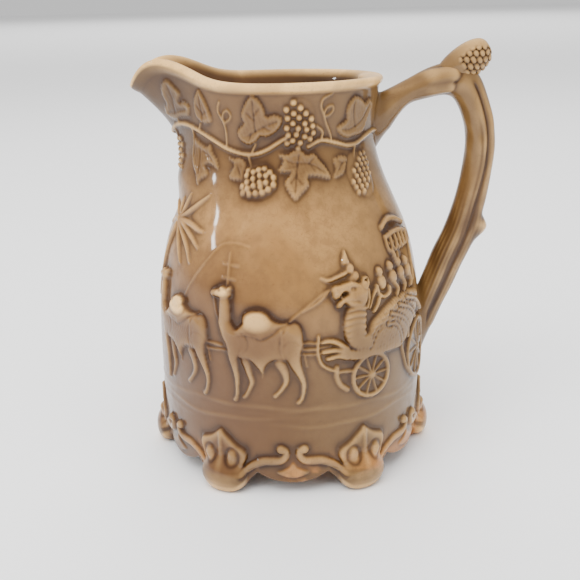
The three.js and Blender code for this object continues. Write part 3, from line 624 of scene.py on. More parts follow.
# %% Wheels
def spoked_wheel(place, radius, spokes, squash=1.0):
    """Rim, hub and spokes: the rim is a ring whose height falls off on both sides of its middle."""
    window, u, v = patch(*place, 20, 20, 20, 20)
    u = u / squash
    distance, angle = np.hypot(u, v), np.arctan2(v, u)
    from_middle = distance - radius + 1.1
    rim = np.abs(from_middle) - 1.1, 1.7 * np.sqrt(np.maximum(1 - (from_middle / 1.15) ** 2, 0))
    clay = lay(np.zeros(u.shape), (distance - radius + 1.2, np.full(u.shape, 0.12)), 0.1)
    turn = np.pi / spokes
    beside = distance * np.sin(np.abs((angle - turn) % (2 * turn) - turn))
    bar = np.where(distance < radius - 1, np.sqrt(np.maximum(1 - (beside / 0.6) ** 2, 0)), 0)
    clay = np.maximum(clay, 1.1 * bar)
    clay = lay(clay, rim, 0.2)
    clay = lay(clay, lump((u, v), 0, 0, 1.9, 1.9, 1.9), 0.3)
    press(window, clay)


window, u, v = patch(34, 45, 24, 10, 6, 30)
clay = np.zeros(u.shape)
clay = lay(clay, cord((u, v), [(-17.6, 16), (-17.6, 12), (-16, 8), (-12.6, 5)], 2.6, 1.0))
clay = lay(clay, cord((u, v), [(-18, 14), (-10, 13.4)], 1.6, 0.9))
press(window, clay)
spoked_wheel((34, 54.5), 10.9, 10)
spoked_wheel((69.6, 55.6), 15.2, 10, 0.96)
print("wheels placed")

# %% Hull of the car
window, u, v = patch(34, 45, 36, 46, 6, 80)
uv = (u, v)
clay = np.zeros(u.shape)
hull = [(-3.6, 30), (0.4, 34.6), (6, 38.2), (12, 40.8), (18, 42.4), (29, 42.4), (38, 39.4), (35, 31),
        (28, 24), (20, 17.6), (13.5, 18.2), (6, 19.4), (-2, 20.4), (-9, 22.2), (-13, 26), (-9, 29)]
clay = lay(clay, plate(uv, hull, 2.5, 4))
SCALE_MM, SCALE_ROW_MM = 3.1, 1.922
slant = (v - 0.25 * u) / SCALE_ROW_MM
row = np.floor(slant)
along = (u + row * SCALE_MM / 2) / SCALE_MM
scale = np.hypot((along - np.floor(along) - 0.5) * SCALE_MM, (slant - row) * SCALE_ROW_MM)
scales = 0.6 * np.sqrt(np.maximum(1 - (scale / SCALE_ROW_MM) ** 2, 0)) - 0.2
hull_edge = outline_distance(uv, through(hull, closed=True, samples=6))
clay = clay + np.where(hull_edge < -1.2, scales, 0)
spine = through([(-2, 31.5), (2, 36), (8, 39.6), (16, 42.6), (27, 43)], samples=6)
for u0, v0 in spine[:-1]:
    barb = [(u0, v0), (u0 + 2.2, v0 - 4.6), (u0 + 2.6, v0 - 6.4)]
    clay = scratch(clay, cord(uv, barb, 0.75, 1.0, 1.0), 0.8)
for start in np.arange(-2, 14, 1.7):
    hatch = [(start, 23.4), (start + 2.6, 28.6), (start + 5.4, 31.6)]
    clay = scratch(clay, cord(uv, hatch, 0.7, 1.0, 1.0), 0.55)
print("hull with scales, barbs and hatching")

# %% Ribs of the hull, brace and neck
ARCS = [
    [(9, 31), (14, 30), (18, 25.4), (19.6, 19.4)],
    [(11.5, 35.4), (18.5, 32.2), (24.6, 26.4), (25.6, 20.4)],
    [(17.5, 38), (27, 33.8), (33, 27.6)],
    [(24, 39.6), (34.5, 35.6), (44, 28)],
]
for arc in ARCS:
    clay = lay(clay, cord(uv, arc, 2.0, 2.5), 0.2, 0.4, 1.0)
rear_brace = [(18.4, 25), (19.8, 18.8), (22, 12.5), (24.6, 6), (28.4, 1.6)]
clay = lay(clay, cord(uv, rear_brace, 1.5, 1.3), 0.2, 0.1, 0.3)
dragon_neck = [(-4.6, 48, 9, 2.8), (-6.2, 43.5, 9.6, 3), (-7.8, 38, 11, 3.1), (-8.4, 33, 11.4, 3.1),
               (-7.6, 28.5, 10, 2.9), (-4, 25, 8, 2.6)]
neck_edge, neck_rise = cord(uv, dragon_neck, sharp=0.42)
ribs = 0.55 * np.sin((v + 0.035 * (u + 8) ** 2) * 2 * np.pi / 2.75)
neck_rise = neck_rise + np.where((v < 42) & (neck_edge < -0.5), ribs, 0)
clay = lay(clay, (neck_edge, neck_rise), 0.3, 0.1, 0.5)
print("ribs, brace and ribbed neck")

# %% Head of the dragon
head = [(-18.7, 51), (-17.4, 52.4), (-14.6, 52.8), (-12, 53.4), (-8.6, 53.4), (-5.4, 52.6), (-2.6, 53.4),
        (-0.6, 51.6), (-1, 46.6), (-2.6, 43), (-7, 41.6), (-11, 42.6), (-13.2, 44.4), (-15, 42.9),
        (-16.8, 43.2), (-16.3, 45.3), (-13.8, 47.3), (-11.8, 48.6), (-13.4, 49), (-15.6, 47.4),
        (-18.2, 47.4)]
clay = lay(clay, plate(uv, head, 3.1, 1.9), 0.3, 0.2, 0.4)
ridge = [(-17.4, 51.2, 2, 3.2), (-13.6, 51.6, 2.2, 3.4), (-9.6, 52.2, 2.4, 3.5), (-6, 51.2, 2.2, 3.3)]
clay = lay(clay, cord(uv, ridge), 0.3, 0.2, 0.2)
nostril, cheek = lump(uv, -17.4, 50.2, 1.4, 1.2, 3.5), lump(uv, -5.2, 47.6, 3.2, 3.6, 3.5, 20)
clay = lay(clay, nostril, 0.2, 0, 0.2)
clay = lay(clay, cheek, 0.6, 0, 0.15)
eye_socket, eyeball = lump(uv, -9.2, 50.2, 1.5, 1.2, 1.0), lump(uv, -9.2, 50.2, 0.9, 0.8, 3.4)
clay = lay(scratch(clay, eye_socket, 0.7), eyeball, 0.1)
ear = [(-0.8, 53.8), (-3.2, 53.4), (-3.8, 51), (-2.2, 49.6), (-0.5, 51.2), (-0.8, 53.8)]
clay = lay(clay, cord(uv, ear, 1.0, 3.4), 0.15, 0.2, 0.5)
collar = [(-0.9, 49), (-0.9, 45), (-2.2, 41)]
clay = lay(clay, cord(uv, collar, 1.3, 3.0), 0.2, 0.2, 0.3)
jaw_line = [(-6.4, 44.6), (-10, 45.2), (-12.8, 46.4)]
clay = scratch(clay, cord(uv, jaw_line, 0.7, 1.0, 1.0), 0.4)
for tooth in (-17.2, -15.8, -14.4):
    clay = lay(clay, lump(uv, tooth, 47.4, 0.5, 0.9, 2.8), 0.1)
print("head with muzzle, jaw, eye and ear")

# %% Clawed arm and shafts
arm = [(18, 18.6, 2.6, 1.8), (6, 20, 4.0, 2.3), (-3, 20.3, 4.6, 2.7), (-9.6, 21, 5.4, 2.9),
       (-14, 23, 5.8, 2.9)]
clay = lay(clay, cord(uv, arm), 0.3, 0.0, 0.4)
for band in np.arange(-11, 14, 1.9):
    clay = scratch(clay, cord(uv, [(band - 0.6, 18), (band + 0.3, 25)], 0.8, 1.0, 1.0), 0.45)
CLAWS = [
    [(-13, 24.4), (-17.4, 27.6), (-21, 28.8), (-24, 28.4)],
    [(-13, 22.6), (-18, 24.4), (-23.6, 24.2)],
    [(-13, 20.6), (-17, 21.6), (-21.6, 20.8)],
]
for claw in CLAWS:
    points = [(a, b, 3.2 - 0.55 * k, 2.5 - 0.3 * k) for k, (a, b) in enumerate(claw)]
    clay = lay(clay, cord(uv, points), 0.25, 0.0, 0.35)
front_brace = [(-25.4, 31), (-26, 24.5), (-24.6, 19), (-21.5, 16.2), (-17.5, 14.4)]
clay = lay(clay, cord(uv, front_brace, 1.5, 1.4), 0.2, 0, 0.2)
rein = [(-18.6, 51.4), (-25, 46), (-32.5, 42.4)]
for shaft in [(-34, 29), (-26, 28.2)], [(-34, 26), (-26.5, 25.2)], rein:
    clay = lay(clay, cord(uv, shaft, 1.0, 0.8), 0.2)
print("arm with three claws, two shafts and a rein")

# %% Driver and riders
cap = [(-11.6, 60.4), (-8.4, 60.6), (-9, 63), (-10, 66.4), (-11.6, 64), (-12.4, 61.6)]
clay = lay(clay, plate(uv, cap, 1.9, 1.2), 0.2)
clay = lay(clay, lump(uv, -8.6, 58.4, 2.2, 2.4, 2.2), 0.2, 0, 0.3)
clay = lay(clay, cord(uv, [(-6.5, 55, 5, 2), (-8.4, 53.4, 5, 1.8)]), 0.3, 0, 0.2)
reaching_arm = [(-11, 57, 2, 1.7), (-16, 55.6, 1.6, 1.5), (-20, 54.8, 1.3, 1.3), (-23, 56, 0.9, 1)]
clay = lay(clay, cord(uv, reaching_arm), 0.2, 0, 0.2)
# Each rider: the head, the trunk, and then the limbs.
RIDERS = [
    [(7.8, 54.6), (8.6, 50), [(5, 49), (5.8, 45.4), (9, 43.4), (12.4, 44.4), (13, 47)],
     [(4, 47.4), (1.4, 44.4), (-0.6, 40.4)], [(6.6, 45), (4.4, 41), (2, 38.4)]],
    [(15.6, 55.6), (17, 50.6), [(17, 48), (19.4, 45), (18, 42.4)]],
    [(22.6, 56), (24, 51), [(24, 49), (26, 45.4), (24.6, 42.8)], [(20.4, 60.5), (21.6, 56)]],
    [(30, 55), (31.6, 50.6), [(32, 49), (33.6, 45), (31.8, 43)]],
]
for rider_head, rider_trunk, *limbs in RIDERS:
    clay = lay(clay, lump(uv, *rider_trunk, 2.6, 3.8, 2.2, 12), 0.3, 0, 0.3)
    for limb in limbs:
        clay = lay(clay, cord(uv, limb, 1.7, 2.1), 0.2, 0, 0.3)
    clay = lay(clay, lump(uv, *rider_head, 1.8, 2.2, 2.4), 0.2, 0, 0.3)
press(window, clay)
print("a driver and", len(RIDERS), "riders")

# %% Canopy over the riders
window, u, v = patch(34, 45, 4, 46, 0, 80)
uv = (u, v)
clay = np.zeros(u.shape)
roofs = [(17, 71.6), (24, 74), (33, 73.4), (42, 70)], [(18, 67.4), (26, 68.4), (35, 67.8), (43, 65.6)]
for roof in roofs:
    clay = lay(clay, cord(uv, roof, 2.2, 1.6), 0.3, 0, 0.2)
for start in np.arange(17.6, 41, 4.4):
    loop = [(start, 67), (start + 0.2, 63.2), (start + 1.8, 61.2), (start + 3.6, 62.6), (start + 3.8, 66.6)]
    clay = lay(clay, cord(uv, loop, 1.3, 1.5), 0.2, 0, 0.2)
    clay = lay(clay, lump(uv, start + 1.9, 64.6, 0.7, 1.1, 1.2), 0.2)
for post in [(41, 66), (40, 54), (38, 44)], [(25, 60), (24.6, 57)]:
    clay = lay(clay, cord(uv, post, 1.3, 1.3), 0.2)
press(window, clay)
print("canopy with a looped fringe")

# %% [markdown]
# ## Masks, scrolls and ground
# Above each foot sits a shield-shaped mask with two bulging eyes and a ridge between them. Pairs
# of scrolls run along the hem and curl up where they meet. Low streaks mark the ground.


# %% Masks over the feet
def mask(azimuth):
    """A shield with a peak, two shoulders, eyes in shallow sockets and a ridge; it fades into the toe."""
    window, u, v = patch(azimuth, 17, 16, 16, 20, 18)
    uv = (u, v)
    far = [(0, 13.8), (1.6, 12.8), (4.6, 10.4), (7.8, 8.8), (10.4, 7.8), (11.6, 5.8), (11.4, 3), (10.4, 0),
           (10, -4), (9.6, -8), (9, -12)]
    near = [(0, 13.8), (1.8, 12.4), (4.8, 9.6), (8, 6.8), (10.8, 5.2), (12.2, 3.2), (12, 0.6), (10.8, -2),
            (10, -5), (9.6, -8), (9, -12)]
    right, left = (far, near) if azimuth > 0 else (near, far)
    shield = right + [(-x, y) for x, y in left[:0:-1]]
    clay = lay(np.zeros(u.shape), plate(uv, shield, 2.2, 1.4))
    ridge = [(0, 12.4, 2.4, 2.6), (0, 5, 3.6, 2.8), (0, -3, 5, 2.7), (0, -12, 8, 2.4)]
    clay = lay(clay, cord(uv, ridge, sharp=0.7), 0.9)
    for eye_u in (-5.6, 5.6):
        socket = np.hypot((u - eye_u) / 3.2, (v - 1.0) / 4.6)
        clay = clay - 0.45 * bell((socket - 1.0) * 3.6, 0.5) * (clay > 0.4)
        clay = lay(clay, lump(uv, eye_u, 1.0, 2.7, 4.1, 3.9, 0, 0.4), 0.15)
    clay = clay * eased(between(-11, -1, v))
    press(window, clay)


for azimuth in FOOT_AZIMUTHS:
    mask(azimuth)
print(len(FOOT_AZIMUTHS), "masks")


# %% Scrolls along the hem
def scroll_pair(azimuth):
    """Two flat-topped bands, mirrored, that end in a ball; a triangle hangs where they part."""
    window, u, v = patch(azimuth, 17, 24, 24, 18, 13)
    clay = np.zeros(u.shape)
    for side in (-1, 1):
        uv = (u * side, v)
        band = cord(uv, [(23, -6.4, 3, 1.5), (18.4, -2.6, 3.6, 1.6), (13.4, 0, 4.2, 1.6),
                         (8.8, 0.5, 4.4, 1.7), (5.2, 1.1, 4.2, 1.8), (3.2, 3.4, 3.8, 1.9),
                         (3.3, 5.8, 3.4, 2), (4.6, 6.9, 3.4, 2)], sharp=0.3)
        clay = lay(clay, band, 0.2, 0, 0.35)
        clay = lay(clay, lump(uv, 5.1, 6.6, 2.1, 2.1, 2.5), 0.2, 0, 0.35)
        fold = cord(uv, [(20, -4.6), (14, -1.4), (8.8, -0.9), (4.4, -0.2), (2.4, 2), (1.9, 5)],
                    1.0, 1.0, 1.0)
        clay = scratch(clay, fold, 0.4)
    lobe = [(0, -0.4), (2.4, -3), (7.4, -5.4), (4, -7.6), (0, -8.4), (-4, -7.6), (-7.4, -5.4), (-2.4, -3)]
    clay = lay(clay, plate((u, v), lobe, 0.8, 1.4), 0.3)
    press(window, clay)


for azimuth in range(-180, 180, 60):
    scroll_pair(azimuth)
print("six pairs of scrolls")

# %% Ground line and hem
streaks = np.zeros_like(H)
for height, swing, turn in [(41.5, 0.8, 0.0), (37.6, 1.1, 1.7), (34.6, 0.9, 3.1), (43.6, 0.5, 4.4)]:
    line = height + swing * np.sin(5 * A * DEGREE + turn) + 0.4 * np.sin(13 * A * DEGREE + turn)
    streaks += 0.24 * bell(H - line, 1.1) * (0.5 + 0.5 * np.sin(3 * A * DEGREE + 2 * turn))
relief = np.maximum(relief, streaks)
hem_band = bell(H - lowest - 1.8, 1.7) * 0.8 * eased(between(9, 4, H))
relief = np.maximum(relief, hem_band)
print("relief from", round(float(relief.min()), 2), "to", round(float(relief.max()), 2), "mm")

# %% [markdown]
# ## Soft edges and pooled glaze
# Casting and a thick glaze round every edge a little, so the relief is blurred by a fraction of a
# millimetre. Molten glaze runs into hollows: a point that lies below the mean of its surroundings
# collects it. That difference, over a near and a wide neighbourhood, becomes the `pool_and_shade` field.
# Where the glaze is thin the `crest` field is high, most of all where hands wore it.


# %% Blur by running sums
def running_mean(field, reach, axis, mode):
    """Mean over 2 reach + 1 cells along one axis, from differences of running sums."""
    size = 2 * reach + 1
    pads = [(0, 0)] * field.ndim
    pads[axis] = (reach + 1, reach)
    sums = np.moveaxis(np.cumsum(np.pad(field, pads, mode=mode), axis=axis), axis, 0)
    return np.moveaxis((sums[size:] - sums[:-size]) / size, 0, axis)


def box_blur(field, reach):
    """Mean over a square of 2 reach + 1 cells; rows end at the edges and columns go round."""
    return running_mean(running_mean(field, reach, 0, "edge"), reach, 1, "wrap")


def soften(field, weight):
    """Each cell moves by weight towards the mean of its four neighbours."""
    tall = np.pad(field, ((1, 1), (0, 0)), mode="edge")
    near = tall[2:] + tall[:-2] + np.roll(field, 1, axis=1) + np.roll(field, -1, axis=1)
    return field + weight * (near / 4 - field)


WIDEST = 65.35
headroom = np.where((H > 30) & (H < 100), WIDEST - body_radius(H), 9.0)
relief = -soft_max(-relief, -headroom, 0.5)
for step in range(2):
    relief = soften(relief, 0.5)
wide_mean = box_blur(box_blur(relief, 7), 5)
near_mean = box_blur(box_blur(relief, 2), 2)
pool_wall = np.clip((near_mean - relief) / 0.3, 0, 1) * 0.75
pool_wall = pool_wall + np.clip((wide_mean - relief) / 0.5, 0, 1) * 0.85
crest_wall = np.clip((relief - wide_mean) / 0.9, 0, 1)
pool_wall = np.clip(soften(pool_wall, 0.6), 0, 1)
crest_wall = crest_wall * (1 - 0.65 * box_blur(leafy, 1)) * (0.42 + 0.28 * between(120, 140, H))
WORN_HUMP, WORN_PACK = (-12, -1.2, 39.6, 9.5, 6.6), (-52, 0, 40.6, 8, 6.6)
WORN_HEAD = (-12, -17.6, 50.6, 6, 3.6)
for azimuth, u0, v0, wide, tall in (WORN_HUMP, WORN_PACK, WORN_HEAD):
    window, u, v = patch(azimuth, **FIGURE_PATCH)
    worn = eased(np.clip(lump((u, v), u0, v0, wide, tall, 1.0, 0, 1.0)[1], 0, 1))
    worn = worn * eased(between(1.6, 2.6, relief[window]))
    crest_wall[window] = np.maximum(crest_wall[window], 1.5 * worn)
print("share of the wall with pooled glaze:", round(float((pool_wall > 0.4).mean()), 3))

# %% [markdown]
# ## The outer sheet in space
# The relief is added along the wall's outward direction. The round toes stand out further than
# relief can, so they come in as an ellipsoid that is joined to the skirt with a smooth step.

# %% Wall, toes and underside
TOE_RADIUS, TOE_DEEP, TOE_RISE = 63.0, 6.6, 13.5


def around(azimuth, radius, height):
    """Point at an azimuth, a radius and a height, in mm."""
    angle = azimuth * DEGREE
    return np.stack([radius * np.sin(angle), -radius * np.cos(angle), height + 0 * radius], axis=-1)


skin = wall(A, H) + wall_normal(A, H) * relief[..., None]
across = from_foot(A) / TOE_WIDE
tall = np.where(H < TOE_MIDDLE, TOE_TALL, TOE_RISE)
room = 1 - across ** 2 - ((H - TOE_MIDDLE) / tall) ** 2
skin_radius = np.hypot(skin[..., 0], skin[..., 1])
softness = 0.5 + 0.55 * eased(between(TOE_MIDDLE, 15, H))
toe_radius = TOE_RADIUS + TOE_DEEP * np.maximum(room, 0) ** softness
toe_share = eased(between(0, 0.2, room))
grown = soft_max(skin_radius, skin_radius + (toe_radius - skin_radius) * toe_share, 0.9)
grown = np.where(room > -0.2, grown, skin_radius)
skin[..., :2] *= (grown / skin_radius)[..., None]
crest_wall = np.maximum(crest_wall, 1.15 * toe_share * between(11, 5, H))
edge_radius = grown[0]
print("toes reach", round(float(grown.max()), 2), "mm from the axis")

# %% Underside rows, from the standing disc out to the hem
DISC = [(12, 0), (24, 0), (33, 0), (35.2, 0), (35.9, 0.35), (36.3, 1.4), (36.8, 4), (37.5, 6.7), (39, 7.7),
        (44, 8.5), (49, 9.2)]
under = [around(azimuths, radius + 0 * azimuths, height) for radius, height in DISC]
for share in np.linspace(0, 1, 14)[:-1]:
    radius = 53 + (edge_radius - 53) * share
    height = lowest + (9.5 - lowest) * (1 - eased(between(0.0, 0.62, share)))
    room = 1 - (from_foot(azimuths) / TOE_WIDE) ** 2 - ((radius - TOE_RADIUS) / TOE_DEEP) ** 2
    sole = np.maximum(0, TOE_MIDDLE - TOE_TALL * np.sqrt(np.maximum(room, 0)))
    height = np.where(room > 0, np.minimum(height, sole), height)
    under.append(around(azimuths, radius, height))
under = np.array(under)

# %% Rolled rim
RIM = [(176.7, 0.15), (177.2, 0.65), (177.9, 1.15), (178.8, 1.4), (179.7, 1.2), (180.4, 0.65),
       (180.85, -0.2), (181, -1.3), (180.9, -2.4), (180.5, -3.4), (179.7, -4.3), (178.5, -4.85), (177, -5)]
rim_h, rim_out = np.array(RIM).T[:, :, None] + 0 * azimuths
ledge = 5.2 * bell(wrap(azimuths - 90), 20) * between(-1.5, -5, rim_out)
flat_top = 0.8 * bell(wrap(azimuths - 90), 20) * ((rim_out < -1) & (rim_out > -4.9))
rim = wall(np.repeat(azimuths[None, :], len(RIM), axis=0), rim_h + flat_top * (180.9 - rim_h),
           rim_out - ledge)
sheet = np.concatenate([under, skin, rim])
FIRST = len(under)
for step in range(10):
    rows = slice(len(DISC) + 5, FIRST + 9)
    block = sheet[len(DISC) + 4:FIRST + 10]
    near = block[2:] + block[:-2] + np.roll(block, 1, axis=1)[1:-1] + np.roll(block, -1, axis=1)[1:-1]
    fade = np.minimum(np.arange(near.shape[0]), np.arange(near.shape[0])[::-1]) / 8
    weight = (0.5 * np.clip(fade, 0, 1))[:, None, None]
    sheet[rows] = sheet[rows] + weight * (near / 4 - sheet[rows])
sheet[..., 2] = np.maximum(sheet[..., 2], 0)
print("sheet:", sheet.shape[0], "rows; top at", round(float(sheet[..., 2].max()), 2), "mm")


# %% Outward directions and the fields that colour the sheet
def grid_normals(points):
    """Outward direction of a grid: difference across the columns, crossed with that across the rows."""
    side = np.roll(points, -1, axis=1) - np.roll(points, 1, axis=1)
    return unit(np.cross(side, np.gradient(points, axis=0)))


sheet_normals = grid_normals(sheet)
blank = np.zeros((1, COLUMNS))
off_spout = 1 - bell(wrap(azimuths + 90), 34)
# Cream rim: thin glaze on the rolled edge, pushed paler by a painted highlight on its top and inner slope;
# the lower outer rows stay less pale at the spout.
RIM_CREAM_AND_HIGHLIGHT = np.array([0.3, 0.7, 1.2, 1.5, 1.6, 1.6, 1.6, 1.6, 1.4, 1.4, 1.3, 1.2, 0.2])[:, None]
rim_cream_and_highlight = np.where(np.arange(len(RIM))[:, None] < 4, RIM_CREAM_AND_HIGHLIGHT * off_spout, RIM_CREAM_AND_HIGHLIGHT)
pool_sheet = np.concatenate([np.repeat(blank + 0.35, FIRST, 0), pool_wall, np.repeat(blank, len(RIM), 0)])
crest_sheet = np.concatenate([np.repeat(blank, FIRST, 0), crest_wall, rim_cream_and_highlight])
lip = between(174.6, 176.2, H)
pool_sheet[FIRST:FIRST + len(H)] = np.maximum(pool_wall, 0.5 * lip * (1 - between(176, 176.6, H)))
inside_sheet = np.zeros(sheet.shape[:2])
off_ledge = 1 - bell(wrap(azimuths - 90), 22)
inside_sheet[-4:-1] = np.array([0.15, 0.4, 0.7])[:, None] * off_ledge
inside_sheet[-1] = 0.9
bare_sheet = np.zeros(sheet.shape[:2])
bare_sheet[:5] = np.array([1, 1, 1, 0.9, 0.4])[:, None]

# %% Inner skin
INNER_AZIMUTHS = azimuths[::INNER_STEP]
neck_down = np.linspace(175, SHOULDER_CUT, 22)
shoulder_down = np.linspace(SHOULDER_CUT, WAIST_CUT, 15)[1:]
waist_down = np.linspace(WAIST_CUT, GROUND_CUT, 15)[1:]
FLOOR = [(54.9, 36), (54.1, 31), (53.2, 26), (52, 21), (50.2, 17.6), (47, 15.4), (42, 14), (36, 13.1),
         (33.6, 12.4), (32.4, 10.6), (31.6, 8.4), (30.6, 6.7), (28.8, 6.05), (20, 6), (10, 6)]


def inner_radius(height):
    """The wall is 5 mm thick above; below 66 mm the bowl draws in towards the floor."""
    drawn = hermite(height, 15, 51, 0.24, 66, float(body_radius(np.array(66.0))) - 5, -0.02)
    return np.where(height < 66, drawn, body_radius(height) - 5)


heights = np.concatenate([neck_down, shoulder_down, waist_down])
inner_a = np.repeat(INNER_AZIMUTHS[None, :], len(heights), axis=0)
inner_h = np.repeat(heights[:, None], len(INNER_AZIMUTHS), axis=1)
inner = wall(inner_a, inner_h, inner_radius(inner_h) - body_radius(inner_h))
bowl = np.array([around(INNER_AZIMUTHS, r + 0 * INNER_AZIMUTHS, z) for r, z in FLOOR])
inner = np.concatenate([inner, bowl])
inner_normals = grid_normals(inner)
NECK_END = len(neck_down) - 1
SHOULDER_END = NECK_END + len(shoulder_down)
WAIST_END = SHOULDER_END + len(waist_down)
print("inner skin:", inner.shape[0], "rows of", inner.shape[1])


# %% [markdown]
# ## From grids to meshes
# A very fine mesh in one piece would be slow to handle, so the vessel is cut level, at the ground,
# the waist and the shoulder. Each ring is closed by flat cuts inside the wall. Both sides of a cut
# keep the outward directions of the whole sheet, so light runs over the joint without a line.


# %% Faces between rows
def cells(rows, columns, first=0):
    """Four corners of each cell between neighbouring rows of a sheet that goes round."""
    row = np.arange(rows - 1)[:, None] * columns
    side = np.arange(columns)[None, :]
    after = (side + 1) % columns
    corners = [row + side, row + after, row + columns + after, row + columns + side]
    return (first + np.stack(corners, -1)).reshape(-1, 4)


def stitch(fine, coarse, flip=False):
    """Triangles between a ring and one with a quarter of its points, fan by fan."""
    n = len(coarse)
    f = np.append(fine, fine[0])
    c = np.append(coarse, coarse[0])
    first = np.arange(n)
    parts = [np.stack([f[first * INNER_STEP + k], f[first * INNER_STEP + k + 1],
                       c[first if k < 2 else first + 1]], -1) for k in range(INNER_STEP)]
    parts.append(np.stack([f[first * INNER_STEP + 2], c[first + 1], c[first]], -1))
    faces = np.concatenate(parts)
    return faces[:, ::-1] if flip else faces


def fan(ring, centre, flip=False):
    """Triangles from a ring to one point."""
    faces = np.stack([ring, np.roll(ring, -1), np.full(len(ring), centre)], -1)
    return faces[:, ::-1] if flip else faces


def put_in_scene(name, points, quads, triangles, normals, fields, cut_normals=None):
    """A mesh in metres with its own outward directions and named fields, put in the scene."""
    mesh = bpy.data.meshes.new(name)
    corners = np.concatenate([quads.ravel(), triangles.ravel()]).astype(np.int32)
    starts = np.concatenate([np.arange(len(quads)) * 4,
                             len(quads) * 4 + np.arange(len(triangles)) * 3]).astype(np.int32)
    mesh.vertices.add(len(points))
    mesh.vertices.foreach_set("co", (points * MM).astype(np.float32).ravel())
    mesh.loops.add(len(corners))
    mesh.loops.foreach_set("vertex_index", corners)
    mesh.polygons.add(len(starts))
    mesh.polygons.foreach_set("loop_start", starts)
    mesh.update(calc_edges=True)
    mesh.shade_smooth()
    loop_normals = normals[corners]
    if cut_normals is not None:
        loop_normals[len(quads) * 4:] = cut_normals
    mesh.normals_split_custom_set(loop_normals.astype(np.float32))
    for key, values in fields.items():
        attribute = mesh.attributes.new(key, "FLOAT", "POINT")
        attribute.data.foreach_set("value", values.astype(np.float32))
    piece = bpy.data.objects.new(name, mesh)
    bpy.context.scene.collection.objects.link(piece)
    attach(piece, "root")
    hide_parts("pitcher")
    print(name, "has", len(quads) * 2 + len(triangles), "triangles")
    return piece


# %% Rings of the vessel
def vessel_ring(name, outer_rows, inner_rows, cap_above, cap_below, poles=False):
    """Outer rows, a flat cut or the rim above, inner rows, and a flat cut or the floor below."""
    outer, inside = sheet[outer_rows], inner[inner_rows]
    points = np.concatenate([outer.reshape(-1, 3), inside.reshape(-1, 3)])
    normals = np.concatenate([sheet_normals[outer_rows].reshape(-1, 3),
                              inner_normals[inner_rows].reshape(-1, 3)])
    base, fine, coarse = outer.shape[0] * COLUMNS, np.arange(COLUMNS), np.arange(len(INNER_AZIMUTHS))
    top_out, top_in = base - COLUMNS + fine, base + coarse
    low_out, low_in = fine, base + (inside.shape[0] - 1) * len(coarse) + coarse
    quads = np.concatenate([cells(outer.shape[0], COLUMNS), cells(inside.shape[0], len(coarse), base)])
    triangles = [stitch(top_out, top_in)]
    directions = [np.tile([0.0, 0, 1], (triangles[0].size, 1)) if cap_above
                  else normals[triangles[0].ravel()]]
    if cap_below:
        triangles.append(stitch(low_out, low_in, flip=True))
        directions.append(np.tile([0.0, 0, -1], (triangles[-1].size, 1)))
    extra = 0
    if poles:
        points = np.concatenate([points, [[0, 0, 0], [0, 0, 6]]])
        normals = np.concatenate([normals, [[0, 0, -1], [0, 0, 1]]])
        extra = 2
        triangles += [fan(low_out, len(points) - 2, flip=True), fan(low_in, len(points) - 1)]
        directions += [normals[t.ravel()] for t in triangles[-2:]]
    tail = inside.shape[0] * len(coarse)

    def field(values, inner_value, pole_values=(0, 0)):
        return np.concatenate([values[outer_rows].ravel(), np.full(tail, inner_value), pole_values[:extra]])

    fields = {
        "pool_and_shade": field(pool_sheet, 0.0),
        "crest": field(crest_sheet, 0.0),
        "inside": field(inside_sheet, 1.0, (0, 1)),
        "bare": field(bare_sheet, 0.0, (1, 0)),
    }
    return put_in_scene(name, points, quads, np.concatenate(triangles), normals, fields,
                        np.concatenate(directions))


GROUND_ROW = FIRST + FOOT_ROWS - 1
WAIST_ROW = GROUND_ROW + BELLY_ROWS - 1
SHOULDER_ROW = WAIST_ROW + SHOULDER_ROWS - 1
foot = vessel_ring("foot_with_masks", slice(0, GROUND_ROW + 1), slice(WAIST_END, None), True, False, True)
belly = vessel_ring("belly_with_procession", slice(GROUND_ROW, WAIST_ROW + 1),
                    slice(SHOULDER_END, WAIST_END + 1), True, True)
shoulder = vessel_ring("shoulder_with_palms", slice(WAIST_ROW, SHOULDER_ROW + 1),
                       slice(NECK_END, SHOULDER_END + 1), True, True)
neck = vessel_ring("neck_with_vine", slice(SHOULDER_ROW, None), slice(0, NECK_END + 1), False, True)

# %% [markdown]
# ## The branch handle
# The handle imitates a pruned branch: an arm leaves the neck, ends in two rounded folds at the
# corner, and a split trunk goes down to the belly. It is a tube along a smooth curve. Where it
# meets the wall each line of the tube bends over in a small arc and lies down on the wall.

# %% Centre line, the same curve as in the CAD part
BRANCH = np.array([(39.5, 160.5), (58.5, 173.1), (80.5, 177.3), (89.8, 159.5), (91.0, 143), (84.9, 111),
                   (76.4, 90), (66.8, 67), (59.6, 50)])


def branch_point(share):
    """Centripetal Catmull-Rom: knots are spaced by the square root of the distance."""
    p = np.vstack([2 * BRANCH[0] - BRANCH[1], BRANCH, 2 * BRANCH[-1] - BRANCH[-2]])
    place = np.clip(share, 0, 1) * (len(BRANCH) - 1)
    k = np.minimum(place.astype(int), len(BRANCH) - 2)
    t = (place - k)[..., None]
    p0, p1, p2, p3 = p[k], p[k + 1], p[k + 2], p[k + 3]
    d0, d1, d2 = (np.sqrt(np.linalg.norm(b - a, axis=-1, keepdims=True))
                  for a, b in ((p0, p1), (p1, p2), (p2, p3)))
    m1 = ((p1 - p0) / d0 - (p2 - p0) / (d0 + d1) + (p2 - p1) / d1) * d1
    m2 = ((p2 - p1) / d1 - (p3 - p1) / (d1 + d2) + (p3 - p2) / d2) * d1
    return p1 + m1 * t + (3 * (p2 - p1) - 2 * m1 - m2) * t ** 2 + (2 * (p1 - p2) + m1 + m2) * t ** 3


